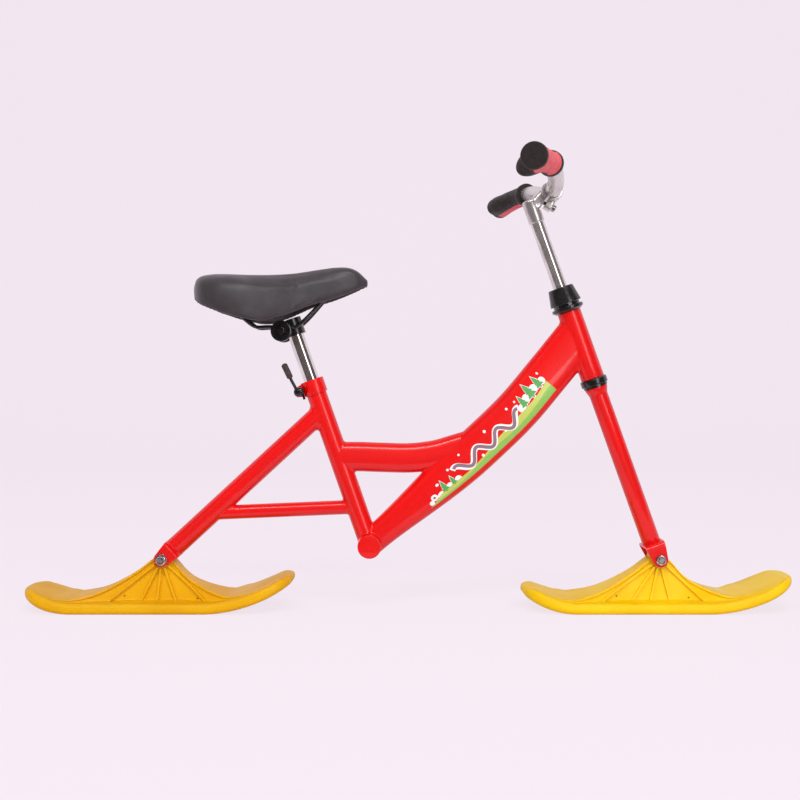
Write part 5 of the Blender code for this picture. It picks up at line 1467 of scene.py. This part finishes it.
def make_saddle_base():
    base = skin("saddle_base_fine", [base_section(x) for x in saddle_stations(40, 2 / 18, 15 / 18)])
    for side in (-1, 1):
        path = rail_path(side, 0.003)
        longer = [path[0] + (path[0] - path[1]).normalized() * FILM] + path
        longer.append(path[-1] + (path[-1] - path[-2]).normalized() * FILM)
        combine(base, skin("socket", swept_rows(longer, RAIL_R + FILM, 24), SADDLE), "DIFFERENCE")
    finished(base, ABS, "saddle", "saddle_base", degrees=50)


make_saddle_base()
make_cushion()

# %% [markdown]
# Both sides of the down tube carry a printed film: a winter meadow with firs, and one ski track
# that swings through it. Each colour is one piece. Its motifs are drawn out across the tube and
# cut to a copy of the tube that is a little larger, so the film lies on the curved side, about a
# tenth of a millimetre above the colour below it. A place in the picture is given as the distance
# along the tube and up it, both in units of half the tube's height, so that nothing is stretched.

# %% Film on the down tube
FILM_X = (0.0200, 0.1930)
FILM_UNIT, FILM_STEP, FOOT = 0.0310, 0.00012, -0.70
DOWN_LINE = smooth_path([(x, 0, z) for x, z in DOWN_TUBE], 0.002)
FILM_PATH = [place for place in DOWN_LINE if FILM_X[0] <= place.x <= FILM_X[1]]
FILM_LENGTH = sum((b - a).length for a, b in zip(FILM_PATH, FILM_PATH[1:])) / FILM_UNIT
FILM_LAYERS = []
print(f"the picture is {FILM_LENGTH:.2f} units long")


def print_film(name, color):
    return start_material(name, color, 0.34, Coat_Weight=0.3, Coat_Roughness=0.08)


def on_tube(along, up):
    """The (x, z) place of a point of the picture."""
    step = min(max(along / FILM_LENGTH, 0), 1) * (len(FILM_PATH) - 1)
    k = min(int(step), len(FILM_PATH) - 2)
    centre = FILM_PATH[k].lerp(FILM_PATH[k + 1], step - k)
    ahead = (FILM_PATH[k + 1] - FILM_PATH[k]).normalized()
    place = centre + Vector((-ahead.z, 0, ahead.x)) * down_tall(centre.x) * up
    return place.x, place.z


def fir(along, low, tall, grow=0.0):
    """Three tiers of branches, one above the other."""
    right = [(tall * 0.05 + grow, low - grow), (tall * 0.05 + grow, low + tall * 0.12 - grow)]
    for tier in range(3):
        base, reach = low + tall * (0.12 + 0.25 * tier), tall * (0.32 - 0.08 * tier)
        right += [(reach + grow, base - grow), (reach * 0.42 + grow, base + tall * 0.28 - grow)]
    right[-1] = (0, low + tall + 2 * grow)
    return [(along + w, up) for w, up in right] + [(along - w, up) for w, up in reversed(right[:-1])]


def meadow(low, high, swell, phase):
    """A strip along the foot of the picture, which thickens from low to high, with a rolling edge."""
    steps = [FILM_LENGTH * (0.004 + 0.992 * k / 60) for k in range(61)]
    upper = []
    for along in steps:
        tall = low + (high - low) * along / FILM_LENGTH + swell * math.sin(1.5 * along + phase)
        upper.append((along, FOOT + 0.02 + ease(along, 0, 0.9) * tall))
    return [(along, FOOT) for along in steps] + list(reversed(upper))


TRACK_STEPS, TRACK_SWINGS, TRACK_START = 96, 3.2, 0.9
TRACK_MIDDLE, TRACK_REACH = -0.10, 0.24


def track(start, end, half):
    """A ribbon of one width that swings from side to side."""
    line = []
    for k in range(TRACK_STEPS + 1):
        swing = math.sin(2 * math.pi * TRACK_SWINGS * k / TRACK_STEPS + TRACK_START)
        line.append(Vector((start + (end - start) * k / TRACK_STEPS, TRACK_MIDDLE + TRACK_REACH * swing)))
    sides = ([], [])
    for k, point in enumerate(line):
        ahead = (line[min(k + 1, TRACK_STEPS)] - line[max(k - 1, 0)]).normalized()
        for side, sign in zip(sides, (-1, 1)):
            side.append(tuple(point + Vector((-ahead.y, ahead.x)) * half * sign))
    return sides[0] + list(reversed(sides[1]))


def spot(along, up, size):
    turns = [2 * math.pi * k / 20 for k in range(20)]
    return [(along + size * math.cos(t), up + size * math.sin(t)) for t in turns]


def lay_film(name, material, motifs):
    """Cuts the motifs of one colour to a copy of the tube, larger than the last colour's."""
    FILM_LAYERS.append(name)
    grow = FILM_STEP * len(FILM_LAYERS)
    shell = skin("shell", tube_rows(DOWN_TUBE, lambda centre, ahead: down_section(centre, ahead, grow)))
    outlines = [[on_tube(*point) for point in motif] for motif in motifs]
    art = gather(name, [prism("motif", outline, 0.03, Matrix.Identity(4)) for outline in outlines])
    combine(art, shell, "INTERSECT", use_self=True)
    finished(art, material, "frame", degrees=40)


# %% The picture's motifs
FIRS = ((1.10, -0.50, 0.62), (1.62, -0.48, 0.46), (6.30, -0.16, 0.62), (6.85, -0.14, 0.80),
        (7.42, -0.10, 0.66))
DRIFTS = ((0.22, -0.52, 0.13), (0.46, -0.36, 0.17), (0.80, -0.50, 0.20), (1.36, -0.42, 0.20),
          (1.86, -0.40, 0.17), (6.10, -0.06, 0.20), (6.55, 0.10, 0.20), (7.10, 0.14, 0.20),
          (7.62, 0.08, 0.18))
FLAKES = ((0.46, -0.36, 0.06), (0.90, 0.06, 0.07), (1.75, 0.26, 0.06), (2.55, 0.42, 0.05),
          (3.35, -0.34, 0.07), (4.10, 0.40, 0.07), (4.85, -0.22, 0.06), (5.55, 0.44, 0.06),
          (6.05, 0.40, 0.05), (7.75, 0.44, 0.06))
WHITE = print_film("white_film", "#F6F1F0")
MAUVE = print_film("mauve_grey_film", "#8E7480")
GREEN = print_film("leaf_green_film", "#5BAA58")
lay_film("film_drifts", WHITE, [spot(*place) for place in DRIFTS] + [fir(*place, 0.035) for place in FIRS])
lay_film("film_hills", print_film("yellow_green_film", "#C3CE5E"), [meadow(0.14, 0.62, 0.06, 0.4)])
lay_film("film_meadow", print_film("green_film", "#93C35B"), [meadow(0.08, 0.30, 0.05, 2.3)])
lay_film("film_track_edge", WHITE, [track(1.9, 6.0, 0.135)] + [spot(*place) for place in FLAKES[1:]])
lay_film("film_track", MAUVE, [track(1.98, 5.92, 0.075), spot(*FLAKES[0])])
lay_film("film_firs", GREEN, [fir(*place) for place in FIRS])
